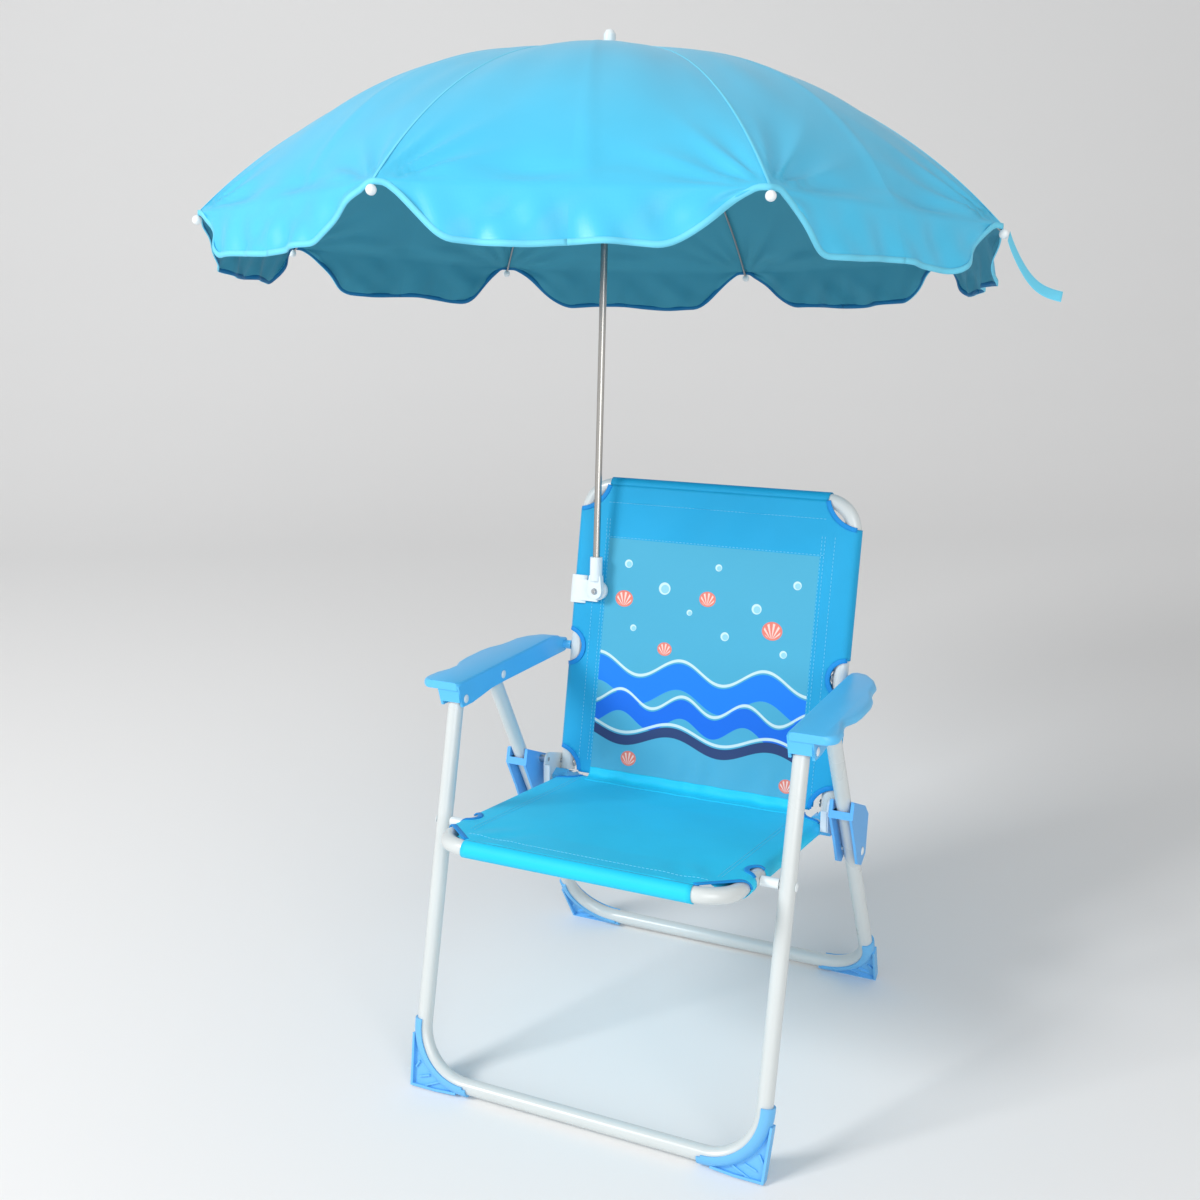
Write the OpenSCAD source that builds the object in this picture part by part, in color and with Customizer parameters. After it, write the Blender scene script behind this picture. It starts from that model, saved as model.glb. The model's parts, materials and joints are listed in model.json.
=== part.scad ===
// Folding child's beach chair with a clamp-on parasol, seat facing -Y.
// Side-view points are [y, z] pairs measured from the front bar's place on the floor.

/* [Frame tubes] */
// Outside diameter of every frame tube
tube_d = 16; // [14:0.5:17]
// Wall of the frame tubes
tube_wall = 1.2; // [0.8:0.1:2]
// Half width of the front legs, to the tube's centre
front_half_w = 185; // [184:0.5:186]
// Half width of the rear legs, to the tube's centre
rear_half_w = 188.6; // [188:0.1:189]
// Half width of the seat frame, to the tube's centre
seat_half_w = 150.6; // [146:0.2:151]
// Half width of the back frame, to the tube's centre
back_half_w = 156.4; // [155:0.2:156.6]
// Bend radius of the leg frames' bottom corners
leg_bend_r = 55; // [40:1:60]
// Bend radius of the seat's and the back's corners
seat_bend_r = 32; // [26:1:36]
// Height of the bottom bars' centre above the floor
bar_h = 12; // [11:0.5:16]
// How far a leg tube runs past its armrest pivot
leg_past_pivot = 4; // [3:0.5:5.5]

/* [Side view] */
// Depth of the armrest's pivot on the front leg
front_pivot_y = 111; // [105:1:115]
// Height of the armrest's pivot on the front leg
front_pivot_z = 389; // [386:0.5:391]
// Depth of the armrest's pivot on the rear leg
mid_pivot_y = 190; // [186:1:196]
// Height of the armrest's pivot on the rear leg
mid_pivot_z = 390; // [387:0.5:391]
// Depth of the armrest's pivot on the back
back_pivot_y = 336; // [333:0.5:338]
// Height of the armrest's pivot on the back
back_pivot_z = 380; // [378:0.5:382]
// Depth of the rear bottom bar
rear_bar_y = 379.4; // [370:0.5:390]
// Depth of the seat's front bar
seat_front_y = 4.7; // [0:0.1:10]
// Height of the seat's front bar
seat_front_z = 279; // [276:0.5:282]
// Slope of the seat, falling to the rear
seat_slope = 9.7; // [8.5:0.1:10.5]
// Depth of the hinge between seat and back
hinge_y = 302.5; // [300:0.5:304]
// Height of the hinge between seat and back
hinge_z = 248; // [247:0.5:250]
// Length of the back from its hinge to its top bar
back_len = 325; // [300:1:340]
// How far the back tube runs below its hinge
back_tail = 8; // [6:0.5:8.5]
// Length of the seat's side tubes
seat_len = 298.5; // [296:0.5:299]
// Depth of the lock link's pin on the hinge plate
lock_y = 272; // [270:0.5:273]
// Height of the lock link's pin on the hinge plate
lock_z = 261; // [260:0.5:262]
// Height of the lock link's pin on the rear leg
link_z = 212; // [210:0.5:214]

/* [Fasteners] */
// Shank diameter of the rivets and pins
pin_d = 5; // [4:0.5:5]
// Diameter of the rivet heads
head_d = 9; // [8:0.5:10]
// Height of the rivet heads
head_h = 1.5; // [1:0.1:1.6]
// Outside diameter of the spacers
spacer_d = 10; // [8:0.5:11]
// Radial running clearance between a pin and its bore
pin_gap = 0.05; // [0.02:0.01:0.08]
// Clearance between pieces that only lie beside each other
side_gap = 0.3; // [0.2:0.05:0.4]

/* [Armrests] */
// Inner face of the armrest's inner wall, from the middle of the chair
arm_in = 174; // [173.6:0.1:174.4]
// Thickness of the armrest's walls
arm_wall = 2.7; // [2:0.1:2.8]
// Inner face of the armrest's outer wall, from the middle of the chair
arm_out = 197; // [196.9:0.1:198]
// Width of the armrest's plate at its widest
arm_plate_w = 46; // [42:1:50]
// Height of the armrest's edge
arm_edge = 8.5; // [7:0.5:10]
// Thickness of the armrest's skin
arm_skin = 2.4; // [1.8:0.1:3]
// Height of the armrest's top at its front edge
arm_top_z = 410; // [408:0.5:412]
// Fall of the armrest's top towards the rear, per millimetre
arm_fall = 0.054; // [0.04:0.002:0.06]

/* [Lock links and hinge] */
// Inner face of the lock link's inner wall
link_in = 176.5; // [176.4:0.1:177]
// Inner face of the lock link's outer wall
link_out = 197.9; // [197.5:0.1:198.4]
// Thickness of the lock link's walls
link_wall = 2.8; // [2:0.1:3]
// Inner face of the hinge plate
plate_in = 166; // [165.9:0.1:166.2]
// Thickness of the hinge plate
plate_t = 2; // [1.5:0.1:2.4]
// Outside diameter of the hinge block's collar
block_d = 21; // [20:0.5:22]

/* [Foot caps] */
// Thickness of the foot cap's shoe
cap_wall = 2.1; // [1.5:0.1:2.6]
// Length of the shoe past the bend
cap_run = 4; // [2:0.5:8]
// Thickness of the foot cap's web
web_t = 2.6; // [2:0.1:4]
// Depth of the foot cap's rim
rim_w = 11; // [8:0.5:13]

/* [Fabric] */
// Thickness of the seat and back fabric
sling_t = 0.8; // [0.5:0.1:1]
// Radius of the cut that bares each top corner of the back
corner_cut = 38; // [36:1:42]
// Radius of the notch at the seat's front pivot
seat_notch_r = 14; // [12:0.5:20]
// Radius of the notch at the back's armrest pivot
back_notch_r = 20; // [17:0.5:24]
// Radius of the notches at the hinge between seat and back
hinge_notch_r = 27; // [26:0.5:32]

/* [Parasol clamp] */
// Sideways place of the pole's foot
pole_x = -131; // [-132:0.5:-130]
// Depth of the pole's foot
pole_y = 335; // [334.5:0.1:335.5]
// Height of the pole's foot
pole_z = 460; // [458:0.5:462]
// Lean of the pole to the rear
pole_back = 8.5; // [8.2:0.1:8.8]
// Lean of the pole to the left
pole_left = 1; // [0.5:0.1:1.5]
// Height of the clamp's ring
clamp_h = 32; // [28:1:36]
// Thickness of the clamp's ring
clamp_t = 3.8; // [3.2:0.1:4.2]
// Diameter of the clamp's disc
disc_d = 22; // [20:0.5:24]
// Outside diameter of the pole socket
socket_d = 14; // [12.5:0.5:15]
// Diameter of the clamp screw
screw_d = 4; // [3:0.5:5]

/* [Parasol] */
// Diameter of the pole
pole_d = 7.8; // [7:0.1:8.2]
// Radius of the rib tips' circle
rim_r = 432; // [424:1:434]
// Radius of the dome that the ribs follow
dome_r = 586; // [560:2:620]
// Height of the dome's top above the pole's foot
dome_top = 570; // [560:1:580]
// Diameter of the rib wire
rib_d = 2.6; // [2:0.1:3]
// Diameter of the stretcher wire
stay_d = 2; // [1.6:0.1:2.2]
// Radius at which the stretchers meet the ribs
stay_r = 195; // [180:1:200]
// Radius of the pivots in the crown and the runner
hub_r = 8; // [7.8:0.1:8.4]
// Diameter of the tip balls
tip_d = 9; // [7:0.5:10]
// Turn of the first rib from the chair's right-hand side
first_rib = 223.5; // [222:0.5:225]
// Angle through which the ribs close
close_angle = 58; // [50:1:58]
// Depth of the scalloped valance between the tips
valance = 48; // [35:1:55]
// Thickness of the canopy's fabric
canopy_t = 0.6; // [0.4:0.1:0.8]
// Length of the tie strap
strap_len = 86; // [60:1:100]
// Width of the tie strap
strap_w = 13; // [10:0.5:16]

/* [Hidden] */
$fn = 48;

// Colours
white_paint = [0.95, 0.96, 0.97];
blue_plastic = [0.42, 0.72, 0.96];
cap_blue = [0.46, 0.76, 0.97];
link_blue = [0.36, 0.62, 0.94];
seat_cloth = [0.12, 0.70, 0.92];
back_cloth = [0.20, 0.66, 0.80];
canopy_cloth = [0.32, 0.80, 0.92];
steel = [0.70, 0.70, 0.70];

// Side-view points
tube_r = tube_d / 2;
pin_r = pin_d / 2;
bore_r = pin_r + pin_gap;
front_bar = [0, bar_h];
rear_bar = [rear_bar_y, bar_h];
p_front = [front_pivot_y, front_pivot_z];
p_mid = [mid_pivot_y, mid_pivot_z];
p_back = [back_pivot_y, back_pivot_z];
p_hinge = [hinge_y, hinge_z];
p_lock = [lock_y, lock_z];
seat_bar = [seat_front_y, seat_front_z];

// Lean of a line from upright, towards the rear
function lean_of(a, b) = atan2(b[0] - a[0], b[1] - a[1]);
// Point at a distance along a leaning line
function along(p, lean, d) = [p[0] + d * sin(lean), p[1] + d * cos(lean)];

front_lean = lean_of(front_bar, p_front);
rear_lean = lean_of(rear_bar, p_mid);
seat_lean = 90 + seat_slope;
back_lean = lean_of(p_hinge, p_back);
front_len = norm(p_front - front_bar);
rear_len = norm(p_mid - rear_bar);

// The seat turns on the front leg where their centre lines cross
seat_pivot_run = (seat_front_z - bar_h + seat_front_y * tan(seat_slope))
    / (cos(front_lean) + sin(front_lean) * tan(seat_slope));
p_seat = along(front_bar, front_lean, seat_pivot_run);
seat_pivot_d = norm(p_seat - seat_bar);

// The lock link turns on the rear leg at its own height
link_run = (link_z - bar_h) / cos(rear_lean);
p_link = along(rear_bar, rear_lean, link_run);
back_pivot_d = back_len - norm(p_back - p_hinge);
bracket_d = seat_len - 9;
p_bracket = along(seat_bar, seat_lean, bracket_d);
top_bar = along(p_hinge, back_lean, back_len);

// Heights on the pole, counted from its foot
dome_c = dome_top - dome_r;
rib_r = dome_r - 4;
pivot_s = dome_c + sqrt(rib_r * rib_r - hub_r * hub_r);
rib_a0 = asin(hub_r / rib_r);
rib_a1 = asin(rim_r / rib_r);
cloth_a1 = rib_a1 - 0.65;
stay_a = asin(stay_r / rib_r);
tip_s = dome_c + rib_r * cos(rib_a1);
stay_s = dome_c + rib_r * cos(stay_a);
stay_len = norm([stay_r - hub_r, pivot_s - stay_s]);
open_angle = atan2(stay_r - hub_r, pivot_s - stay_s);
runner_s = pivot_s - 2 * stay_len * cos(open_angle);
runner_travel = 2 * stay_len * (cos(open_angle - close_angle) - cos(open_angle));
screw_s = -11;

// The origin lies under the middle of the whole outline
pole_axis = [-cos(pole_back) * sin(pole_left), sin(pole_back), cos(pole_back) * cos(pole_left)];
rim_u = [cos(pole_left), 0, sin(pole_left)];
rim_v = [sin(pole_back) * sin(pole_left), cos(pole_back), -sin(pole_back) * cos(pole_left)];
pole_foot = [pole_x, pole_y, pole_z];
function rim_point(r, a, s) =
    pole_foot + s * pole_axis + r * cos(a) * rim_u + r * sin(a) * rim_v;
tips = [for (k = [0:7]) rim_point(rim_r, first_rib + 45 * k, tip_s)];
strap_turn = 40;
strap_reach = 0.62;
strap_end_x = tips[3][0] + strap_len * strap_reach;
left_x = min([for (t = tips) t[0]]) - tip_d / 2;
front_y = min([for (t = tips) t[1]]) - tip_d / 2;
rear_y = max([for (t = tips) t[1]]) + tip_d / 2;
origin = [-(left_x + strap_end_x) / 2, -(front_y + rear_y) / 2, 0];

echo(origin = origin, p_front = p_front, p_mid = p_mid, p_back = p_back, p_hinge = p_hinge,
    p_seat = p_seat, p_lock = p_lock, p_link = p_link, p_bracket = p_bracket);
echo(pole_axis = pole_axis, rim_u = rim_u, rim_v = rim_v, pivot_s = pivot_s, stay_s = stay_s,
    runner_s = runner_s, runner_travel = runner_travel, tip_s = tip_s, top_bar = top_bar);

// Placing helpers
module place() { translate(origin) children(); }
module both_sides() {
    children();
    mirror([1, 0, 0]) children();
}
module at(p) { translate([0, p[0], p[1]]) children(); }
module leaning(p, lean) { at(p) rotate([-lean, 0, 0]) children(); }
module x_rod(x0, x1, r) { translate([x0, 0, 0]) rotate([0, 90, 0]) cylinder(r = r, h = x1 - x0); }
// A flat shape drawn in the side view, pushed out along X
module side_plate(x0, x1) {
    translate([x0, 0, 0]) rotate([90, 0, 90]) linear_extrude(x1 - x0) children();
}
module on_pole() { translate(pole_foot) rotate([-pole_back, -pole_left, 0]) children(); }

// A tube profile, and a U of tube whose bar lies on X and whose legs run along Z
module tube_ring(r_out, r_in) {
    difference() {
        circle(r_out);
        if (r_in > 0) circle(r_in);
    }
}
module u_tube(half_w, leg_len, bend_r, r_out, r_in) {
    translate([-(half_w - bend_r), 0, 0]) rotate([0, 90, 0])
        linear_extrude(2 * (half_w - bend_r)) tube_ring(r_out, r_in);
    both_sides() {
        translate([half_w - bend_r, 0, bend_r]) rotate([90, 0, 0]) rotate([0, 0, -90])
            rotate_extrude(angle = 90) translate([bend_r, 0]) tube_ring(r_out, r_in);
        translate([half_w, 0, bend_r]) linear_extrude(leg_len - bend_r) tube_ring(r_out, r_in);
    }
}
module frame_tube(half_w, leg_len, bend_r) {
    u_tube(half_w, leg_len, bend_r, tube_r, tube_r - tube_wall);
}
// Cross bore through both legs at a distance from the bar
module leg_bores(half_w, d) {
    both_sides() translate([0, 0, d])
        x_rod(half_w - tube_r - 1, half_w + tube_r + 1, bore_r);
}

// The four bent tube frames
module front_leg_frame() {
    color(white_paint) leaning(front_bar, front_lean) difference() {
        frame_tube(front_half_w, front_len + leg_past_pivot, leg_bend_r);
        leg_bores(front_half_w, front_len);
        leg_bores(front_half_w, seat_pivot_run);
    }
}
module rear_leg_frame() {
    color(white_paint) leaning(rear_bar, rear_lean) difference() {
        frame_tube(rear_half_w, rear_len + leg_past_pivot, leg_bend_r);
        leg_bores(rear_half_w, rear_len);
        leg_bores(rear_half_w, link_run);
    }
}
module seat_frame() {
    color(white_paint) leaning(seat_bar, seat_lean) difference() {
        frame_tube(seat_half_w, seat_len, seat_bend_r);
        leg_bores(seat_half_w, seat_pivot_d);
        leg_bores(seat_half_w, bracket_d);
    }
}
module back_frame() {
    color(white_paint) leaning(top_bar, 180 + back_lean) difference() {
        frame_tube(back_half_w, back_len + back_tail, seat_bend_r);
        leg_bores(back_half_w, back_len);
        leg_bores(back_half_w, back_pivot_d);
    }
}

// Foot caps: a half-round shoe round the bend, with a ribbed web out to the floor corner
module strut(p, q, w) {
    n = w / 2 * [-(q - p)[1], (q - p)[0]] / norm(q - p);
    polygon([p + n, q + n, q - n, p - n]);
}
module foot_cap(half_w) {
    cap_r = tube_r + side_gap / 2;
    shoe_r = cap_r + cap_wall;
    c = half_w - leg_bend_r;
    heel = [half_w + shoe_r - 1, 42];
    tip = [half_w + 6, -bar_h];
    toe = [half_w - 46, -shoe_r + 0.6];
    flat = [half_w - 22, -bar_h];
    difference() {
        union() {
            // Shoe, kept to the outer half of the bend
            intersection() {
                union() {
                    translate([c, 0, leg_bend_r]) rotate([90, 0, 0]) rotate([0, 0, -90])
                        rotate_extrude(angle = 90) translate([leg_bend_r, 0]) circle(shoe_r);
                    translate([half_w, 0, leg_bend_r]) cylinder(r = shoe_r, h = cap_run);
                    translate([c - cap_run, 0, 0]) x_rod(0, cap_run, shoe_r);
                }
                shoe_side(half_w, c);
            }
            // Web, rim and ribs in the plane of the frame
            rotate([90, 0, 0]) {
                translate([0, 0, -web_t / 2]) linear_extrude(web_t)
                    polygon([heel, tip, flat, toe, [c + 36, 19], [half_w - 6, 44]]);
                translate([0, 0, -rim_w / 2]) linear_extrude(rim_w) {
                    strut(heel, tip, 2.4);
                    strut(tip + [1, 1.2], flat + [0, 1.2], 2.4);
                    strut(flat + [0, 1.2], toe + [0, 0.6], 2.4);
                }
                translate([0, 0, -rim_w / 2 + 2]) linear_extrude(rim_w - 4)
                    for (k = [0:2]) strut([half_w - 26 + 13 * k, -2 + 8 * k * k / 2],
                        [half_w - 6 + 5 * k, -bar_h + 1 + 9 * k], 1.6);
            }
        }
        u_tube(half_w, leg_bend_r + 80, leg_bend_r, cap_r, 0);
    }
}
// The outer side of the bend, where the shoe lies
module shoe_side(half_w, c) {
    rotate([90, 0, 0]) translate([0, 0, -20]) linear_extrude(40) difference() {
        translate([c - 20, -20]) square([leg_bend_r + 60, leg_bend_r + 60]);
        translate([c, leg_bend_r]) circle(leg_bend_r - 1);
        translate([c - 40, -1]) square([40, leg_bend_r + 2]);
        translate([c - 1, leg_bend_r]) square([leg_bend_r, 60]);
    }
}
module foot_caps(bar, lean, half_w) {
    color(cap_blue) intersection() {
        both_sides() leaning(bar, lean) foot_cap(half_w);
        translate([-300, bar[0] - 60, 0]) cube([600, 120, 120]);
    }
}
module front_foot_caps() { foot_caps(front_bar, front_lean, front_half_w); }
module rear_foot_caps() { foot_caps(rear_bar, rear_lean, rear_half_w); }

// Loft: a closed skin through sections that have the same number of points
module loft(sections) {
    m = len(sections[0]);
    n = len(sections);
    polyhedron(
        points = [for (s = sections) for (p = s) p],
        faces = concat(
            [for (i = [0:n - 2]) for (j = [0:m - 1])
                for (f = [[i * m + j, (i + 1) * m + j, i * m + (j + 1) % m],
                          [i * m + (j + 1) % m, (i + 1) * m + j, (i + 1) * m + (j + 1) % m]]) f],
            [for (j = [1:m - 2]) [0, j, j + 1]],
            [for (j = [1:m - 2]) [(n - 1) * m, (n - 1) * m + j + 1, (n - 1) * m + j]]),
        convexity = 6);
}

// Armrests: a waisted plate over a channel that takes the tops of both legs
arm_front_y = 97;
arm_rear_y = 326;
arm_len = arm_rear_y - arm_front_y;
// Height of the top, falling to the rear and rounded off at the end
function arm_top(y) = arm_top_z - arm_fall * (y - arm_front_y)
    - 11 * pow(max(0, (y - 300) / 40), 2);
// Outer edge: a hand rest, a waist behind it, and a taper to the back pivot
function arm_edge_x(y) = arm_in + arm_plate_w - 8 * exp(-pow((y - 151) / 17, 2))
    - 10 * smooth((y - 222) / 40) - 33 * pow(max(0, (y - 275) / 56), 1.6);
// Rounding of the plate's front corners in plan
function corner_cut_at(y, r) =
    y < arm_front_y + r ? r - sqrt(max(0, r * r - pow(arm_front_y + r - y, 2))) : 0;
function arm_section(y) =
    let (x0 = arm_in + 0.2 + 0.5 * corner_cut_at(y, 7),
         x1 = arm_edge_x(y) - corner_cut_at(y, 14),
         z1 = arm_top(y), z0 = z1 - arm_edge, r = min(5.5, x1 - x0 - 3))
    [[x0, y, z0], [x1, y, z0], [x1 + 0.8, y, z0 + 1.5], [x1 + 0.8, y, z1 - r],
     for (a = [20, 45, 70]) [x1 + 0.8 - r + r * cos(a), y, z1 - r + r * sin(a)],
     [x1 + 0.8 - r, y, z1], [x0 + 3, y, z1], [x0 + 0.9, y, z1 - 0.9], [x0, y, z1 - 3]];
arm_stations = concat([for (k = [1:6]) arm_front_y + 14 * (1 - cos(15 * k))],
    [for (k = [1:14]) arm_front_y + 14 + k * (arm_len - 14) / 14]);
// Side view of a wall: the leg pivots sit in two lobes of its lower edge
module arm_wall_shape(rear) {
    polygon([[arm_front_y + 0.5, arm_top(arm_front_y) - 4], [front_pivot_y - 7, front_pivot_z - 7],
        [front_pivot_y + 13, front_pivot_z - 8.4], [mid_pivot_y - 25, mid_pivot_z - 7],
        [mid_pivot_y, mid_pivot_z - 8], [269.5, 376], [rear, 376 - 0.06 * (rear - 269.5)],
        for (y = [rear:-32:arm_front_y]) [y, arm_top(y) - 2]]);
}
module armrest() {
    difference() {
        union() {
            difference() {
                loft([for (k = [len(arm_stations) - 1:-1:0]) arm_section(arm_stations[k])]);
                // Hollow underside
                translate([0, 0, -arm_skin]) loft([for (k = [12:-1:0])
                    let (y = arm_front_y + 6 + k * (arm_len - 22) / 12)
                    [[arm_in + arm_wall, y, arm_top(y) - 30], [arm_edge_x(y) - 3, y, arm_top(y) - 30],
                     [arm_edge_x(y) - 3, y, arm_top(y)], [arm_in + arm_wall, y, arm_top(y)]]]);
            }
            side_plate(arm_in, arm_in + arm_wall) {
                arm_wall_shape(arm_rear_y);
                polygon([[arm_rear_y - 1, arm_top(arm_rear_y) - 2], p_back + [0.5, 8],
                    p_back + [-1, -8], [arm_rear_y - 1, 376 - 0.06 * (arm_rear_y - 269.5)]]);
            }
            side_plate(arm_out, arm_out + arm_wall) arm_wall_shape(296);
            at(p_back) x_rod(arm_in, arm_in + 6, 8);
            // Cross wall in front of the leg's top
            side_plate(arm_in + 1, arm_out + 1)
                polygon([[98.8, arm_top(98.8) - 3], [99.6, front_pivot_z - 1],
                    [102, front_pivot_z - 1], [101.2, arm_top(101.2) - 2]]);
        }
        for (p = [p_front, p_mid, p_back]) at(p) x_rod(arm_in - 1, arm_out + arm_wall + 1, bore_r);
    }
}
module armrest_right() { color(blue_plastic) armrest(); }
module armrest_left() { color(blue_plastic) mirror([1, 0, 0]) armrest(); }

// Rivets: a shank with a low domed head at each end that has one
module head(x, dir) {
    translate([x, 0, 0]) rotate([0, 90 * dir, 0]) {
        cylinder(d = head_d, h = head_h * 0.4);
        translate([0, 0, head_h * 0.4]) cylinder(d1 = head_d, d2 = head_d * 0.6, h = head_h * 0.6);
    }
}
arm_face = arm_out + arm_wall;
back_face = back_half_w + tube_r;
module armrest_rivets() {
    color(white_paint) both_sides() {
        for (p = [p_front, p_mid]) at(p) {
            x_rod(arm_in - 0.1, arm_face + 0.1, pin_r);
            head(arm_in - 0.05, -1);
            head(arm_face + 0.05, 1);
        }
        at(p_back) {
            x_rod(back_face + side_gap, arm_in + 6.1, pin_r);
            head(arm_in + 6.05, 1);
        }
    }
}
module spacer(x0, x1) {
    difference() {
        x_rod(x0, x1, spacer_d / 2);
        x_rod(x0 - 1, x1 + 1, bore_r);
    }
}
module back_spacers() {
    color(blue_plastic) both_sides() at(p_back) spacer(back_face + side_gap, arm_in - 0.05);
}
// The back's own end of the armrest pivot: a flush rivet through the back tube
module back_rivets() {
    color(white_paint) both_sides() at(p_back) {
        x_rod(back_half_w - tube_r - 0.3, back_face, pin_r);
        head(back_half_w - tube_r - 0.25, -1);
    }
}
// Bolts that carry the seat on the front legs, with a spacer between
module seat_bolts() {
    color(white_paint) both_sides() at(p_seat) {
        x_rod(seat_half_w - tube_r - side_gap - 0.1, front_half_w + tube_r + 0.1, pin_r);
        head(seat_half_w - tube_r - side_gap, -1);
        head(front_half_w + tube_r + 0.05, 1);
    }
}
module seat_spacers() {
    color(steel) both_sides() at(p_seat)
        spacer(seat_half_w + tube_r + side_gap, front_half_w - tube_r - side_gap);
}

// Lock links: two walls joined by a web in front of the rear leg, which the web stops on
link_pts = [[-38.4, 71.8], [8.5, 48.4], [22.6, 33.5], [15, -9], [-1.4, -15.9], [-16.3, -8.2],
    [-27.2, 18.2], [-44.3, 53.2]];
link_face = link_out + link_wall;
// The web runs down the front bevel as far as the leg tube lets it
web_dir = (link_pts[0] - link_pts[7]) / norm(link_pts[0] - link_pts[7]);
web_len = 8;
web_thick = 2.4;
module lock_link() {
    difference() {
        at(p_link) {
            side_plate(link_in, link_in + link_wall) polygon(link_pts);
            side_plate(link_out, link_face) polygon(link_pts);
            side_plate(link_in + 0.5, link_face - 0.5) polygon([link_pts[7],
                link_pts[7] + web_dir * web_len,
                link_pts[7] + web_dir * web_len + web_thick * [web_dir[1], -web_dir[0]],
                link_pts[7] + web_thick * [web_dir[1], -web_dir[0]]]);
            // Raised rim round the mouth, inside the walls
            for (x = [link_in - 0.8, link_face - 0.2])
                side_plate(x, x + 1) strut(link_pts[7] + [1.4, 0.4], link_pts[0] + [0.6, -1.6], 2.6);
        }
        at(p_link) x_rod(link_in - 2, link_face + 2, bore_r);
        at(p_lock) x_rod(link_in - 2, link_in + link_wall + 1, head_d / 2 - 1 + pin_gap);
    }
}
module lock_link_right() { color(link_blue) lock_link(); }
module lock_link_left() { color(link_blue) mirror([1, 0, 0]) lock_link(); }
module link_rivets() {
    color(white_paint) both_sides() {
        at(p_link) {
            // The inner end is flush, as the hinge plate's stud passes it when the chair folds
            x_rod(link_in, link_face + 0.1, pin_r);
            head(link_face + 0.05, 1);
        }
        // Flush rivet end where the hinge plate's stud meets the link
        at(p_lock) x_rod(link_in, link_in + link_wall, head_d / 2 - 1);
    }
}

// Hinge plates join the seat's rear end, the back's lower end and the lock link
plate_out = plate_in + plate_t;
flange_top = [lock_y - 9.5, lock_z - 3];
flange_foot = [lock_y - 10.5, lock_z - 26];
module hinge_plate() {
    difference() {
        union() {
            side_plate(plate_in, plate_out) hull() {
                translate(p_lock) circle(8);
                translate(p_hinge) circle(9);
                translate(p_bracket) circle(9);
                translate(flange_top + [1, 0]) circle(1);
                translate(flange_foot + [1, 0]) circle(1);
            }
            side_plate(plate_in - 6, plate_in + 0.5) strut(flange_top, flange_foot, plate_t);
        }
        for (p = [p_hinge, p_bracket]) at(p) x_rod(plate_in - 1, plate_out + 1, bore_r);
        at(p_lock) x_rod(plate_in - 1, plate_out + 1, bore_r);
    }
}
module hinge_plate_right() { color(white_paint) hinge_plate(); }
module hinge_plate_left() { color(white_paint) mirror([1, 0, 0]) hinge_plate(); }
module hinge_pins() {
    color(steel) both_sides() at(p_hinge) {
        x_rod(back_half_w - tube_r - side_gap - 0.1, plate_out + 0.1, pin_r);
        head(back_half_w - tube_r - side_gap, -1);
        head(plate_out + 0.05, 1);
    }
}
module bracket_studs() {
    color(steel) both_sides() at(p_lock) {
        x_rod(plate_in, plate_out + 1, pin_r);
        x_rod(plate_out + 0.05, link_in - side_gap, spacer_d / 2 - 1);
    }
}
module bracket_rivets() {
    color(white_paint) both_sides() at(p_bracket) {
        x_rod(seat_half_w - block_d / 2 - 0.15, plate_out + 0.1, pin_r);
        head(seat_half_w - block_d / 2 - 0.1, -1);
        head(plate_out + 0.05, 1);
    }
}
// Hinge block: a collar on the seat tube's rear end, with a cradle under the back tube
module hinge_block() {
    block_out = plate_in - 0.1;
    difference() {
        union() {
            leaning(seat_bar, seat_lean) translate([seat_half_w, 0, bracket_d - 12])
                cylinder(d = block_d, h = 23);
            side_plate(seat_half_w, block_out) polygon([p_bracket + [-11, -8], p_bracket + [9, -11],
                p_bracket + [12, 4], p_hinge + [4, -10], p_hinge + [-13, -4], p_bracket + [-11.5, 9]]);
        }
        leaning(seat_bar, seat_lean) translate([seat_half_w, 0, bracket_d - 40])
            cylinder(r = tube_r + pin_gap, h = 80);
        at(p_hinge) x_rod(back_half_w - tube_r - 3, block_out + 1, norm([back_tail, tube_r]) + 0.6);
        at(p_bracket) x_rod(seat_half_w - block_d, block_out + 1, bore_r);
    }
}
module hinge_block_right() { color(blue_plastic) hinge_block(); }
module hinge_block_left() { color(blue_plastic) mirror([1, 0, 0]) hinge_block(); }

// Fabric panels: sleeves round the tubes, joined by one taut sheet on the side that is sat on
sleeve_in = tube_r + side_gap;
sleeve_out = sleeve_in + sling_t;
// Profile across the panel: the sheet lies towards +Y, the hem returns behind the tube
module sling_profile(half_w) {
    hem = [half_w - 17, sleeve_in + sling_t / 2];
    difference() {
        union() {
            translate([-half_w, sleeve_in]) square([2 * half_w, sling_t]);
            for (m = [0, 1]) mirror([m, 0]) {
                translate([half_w, 0]) circle(sleeve_out);
                strut([half_w - sleeve_in * sin(65), -sleeve_in * cos(65)] + [0.4, -0.4], hem, sling_t);
            }
        }
        for (m = [0, 1]) mirror([m, 0]) translate([half_w, 0]) circle(sleeve_in);
    }
}
module sling(half_w, run, bend_r) {
    // Side sleeves start where the tubes run straight
    translate([0, 0, bend_r]) linear_extrude(run - bend_r) sling_profile(half_w);
    translate([-half_w, sleeve_in, 6]) cube([2 * half_w, sling_t, bend_r]);
    // Sleeve round the cross bar
    side_plate(-(half_w - bend_r), half_w - bend_r) difference() {
        union() {
            circle(sleeve_out);
            translate([sleeve_in, 0]) square([sling_t, 12]);
        }
        circle(sleeve_in);
    }
}
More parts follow.
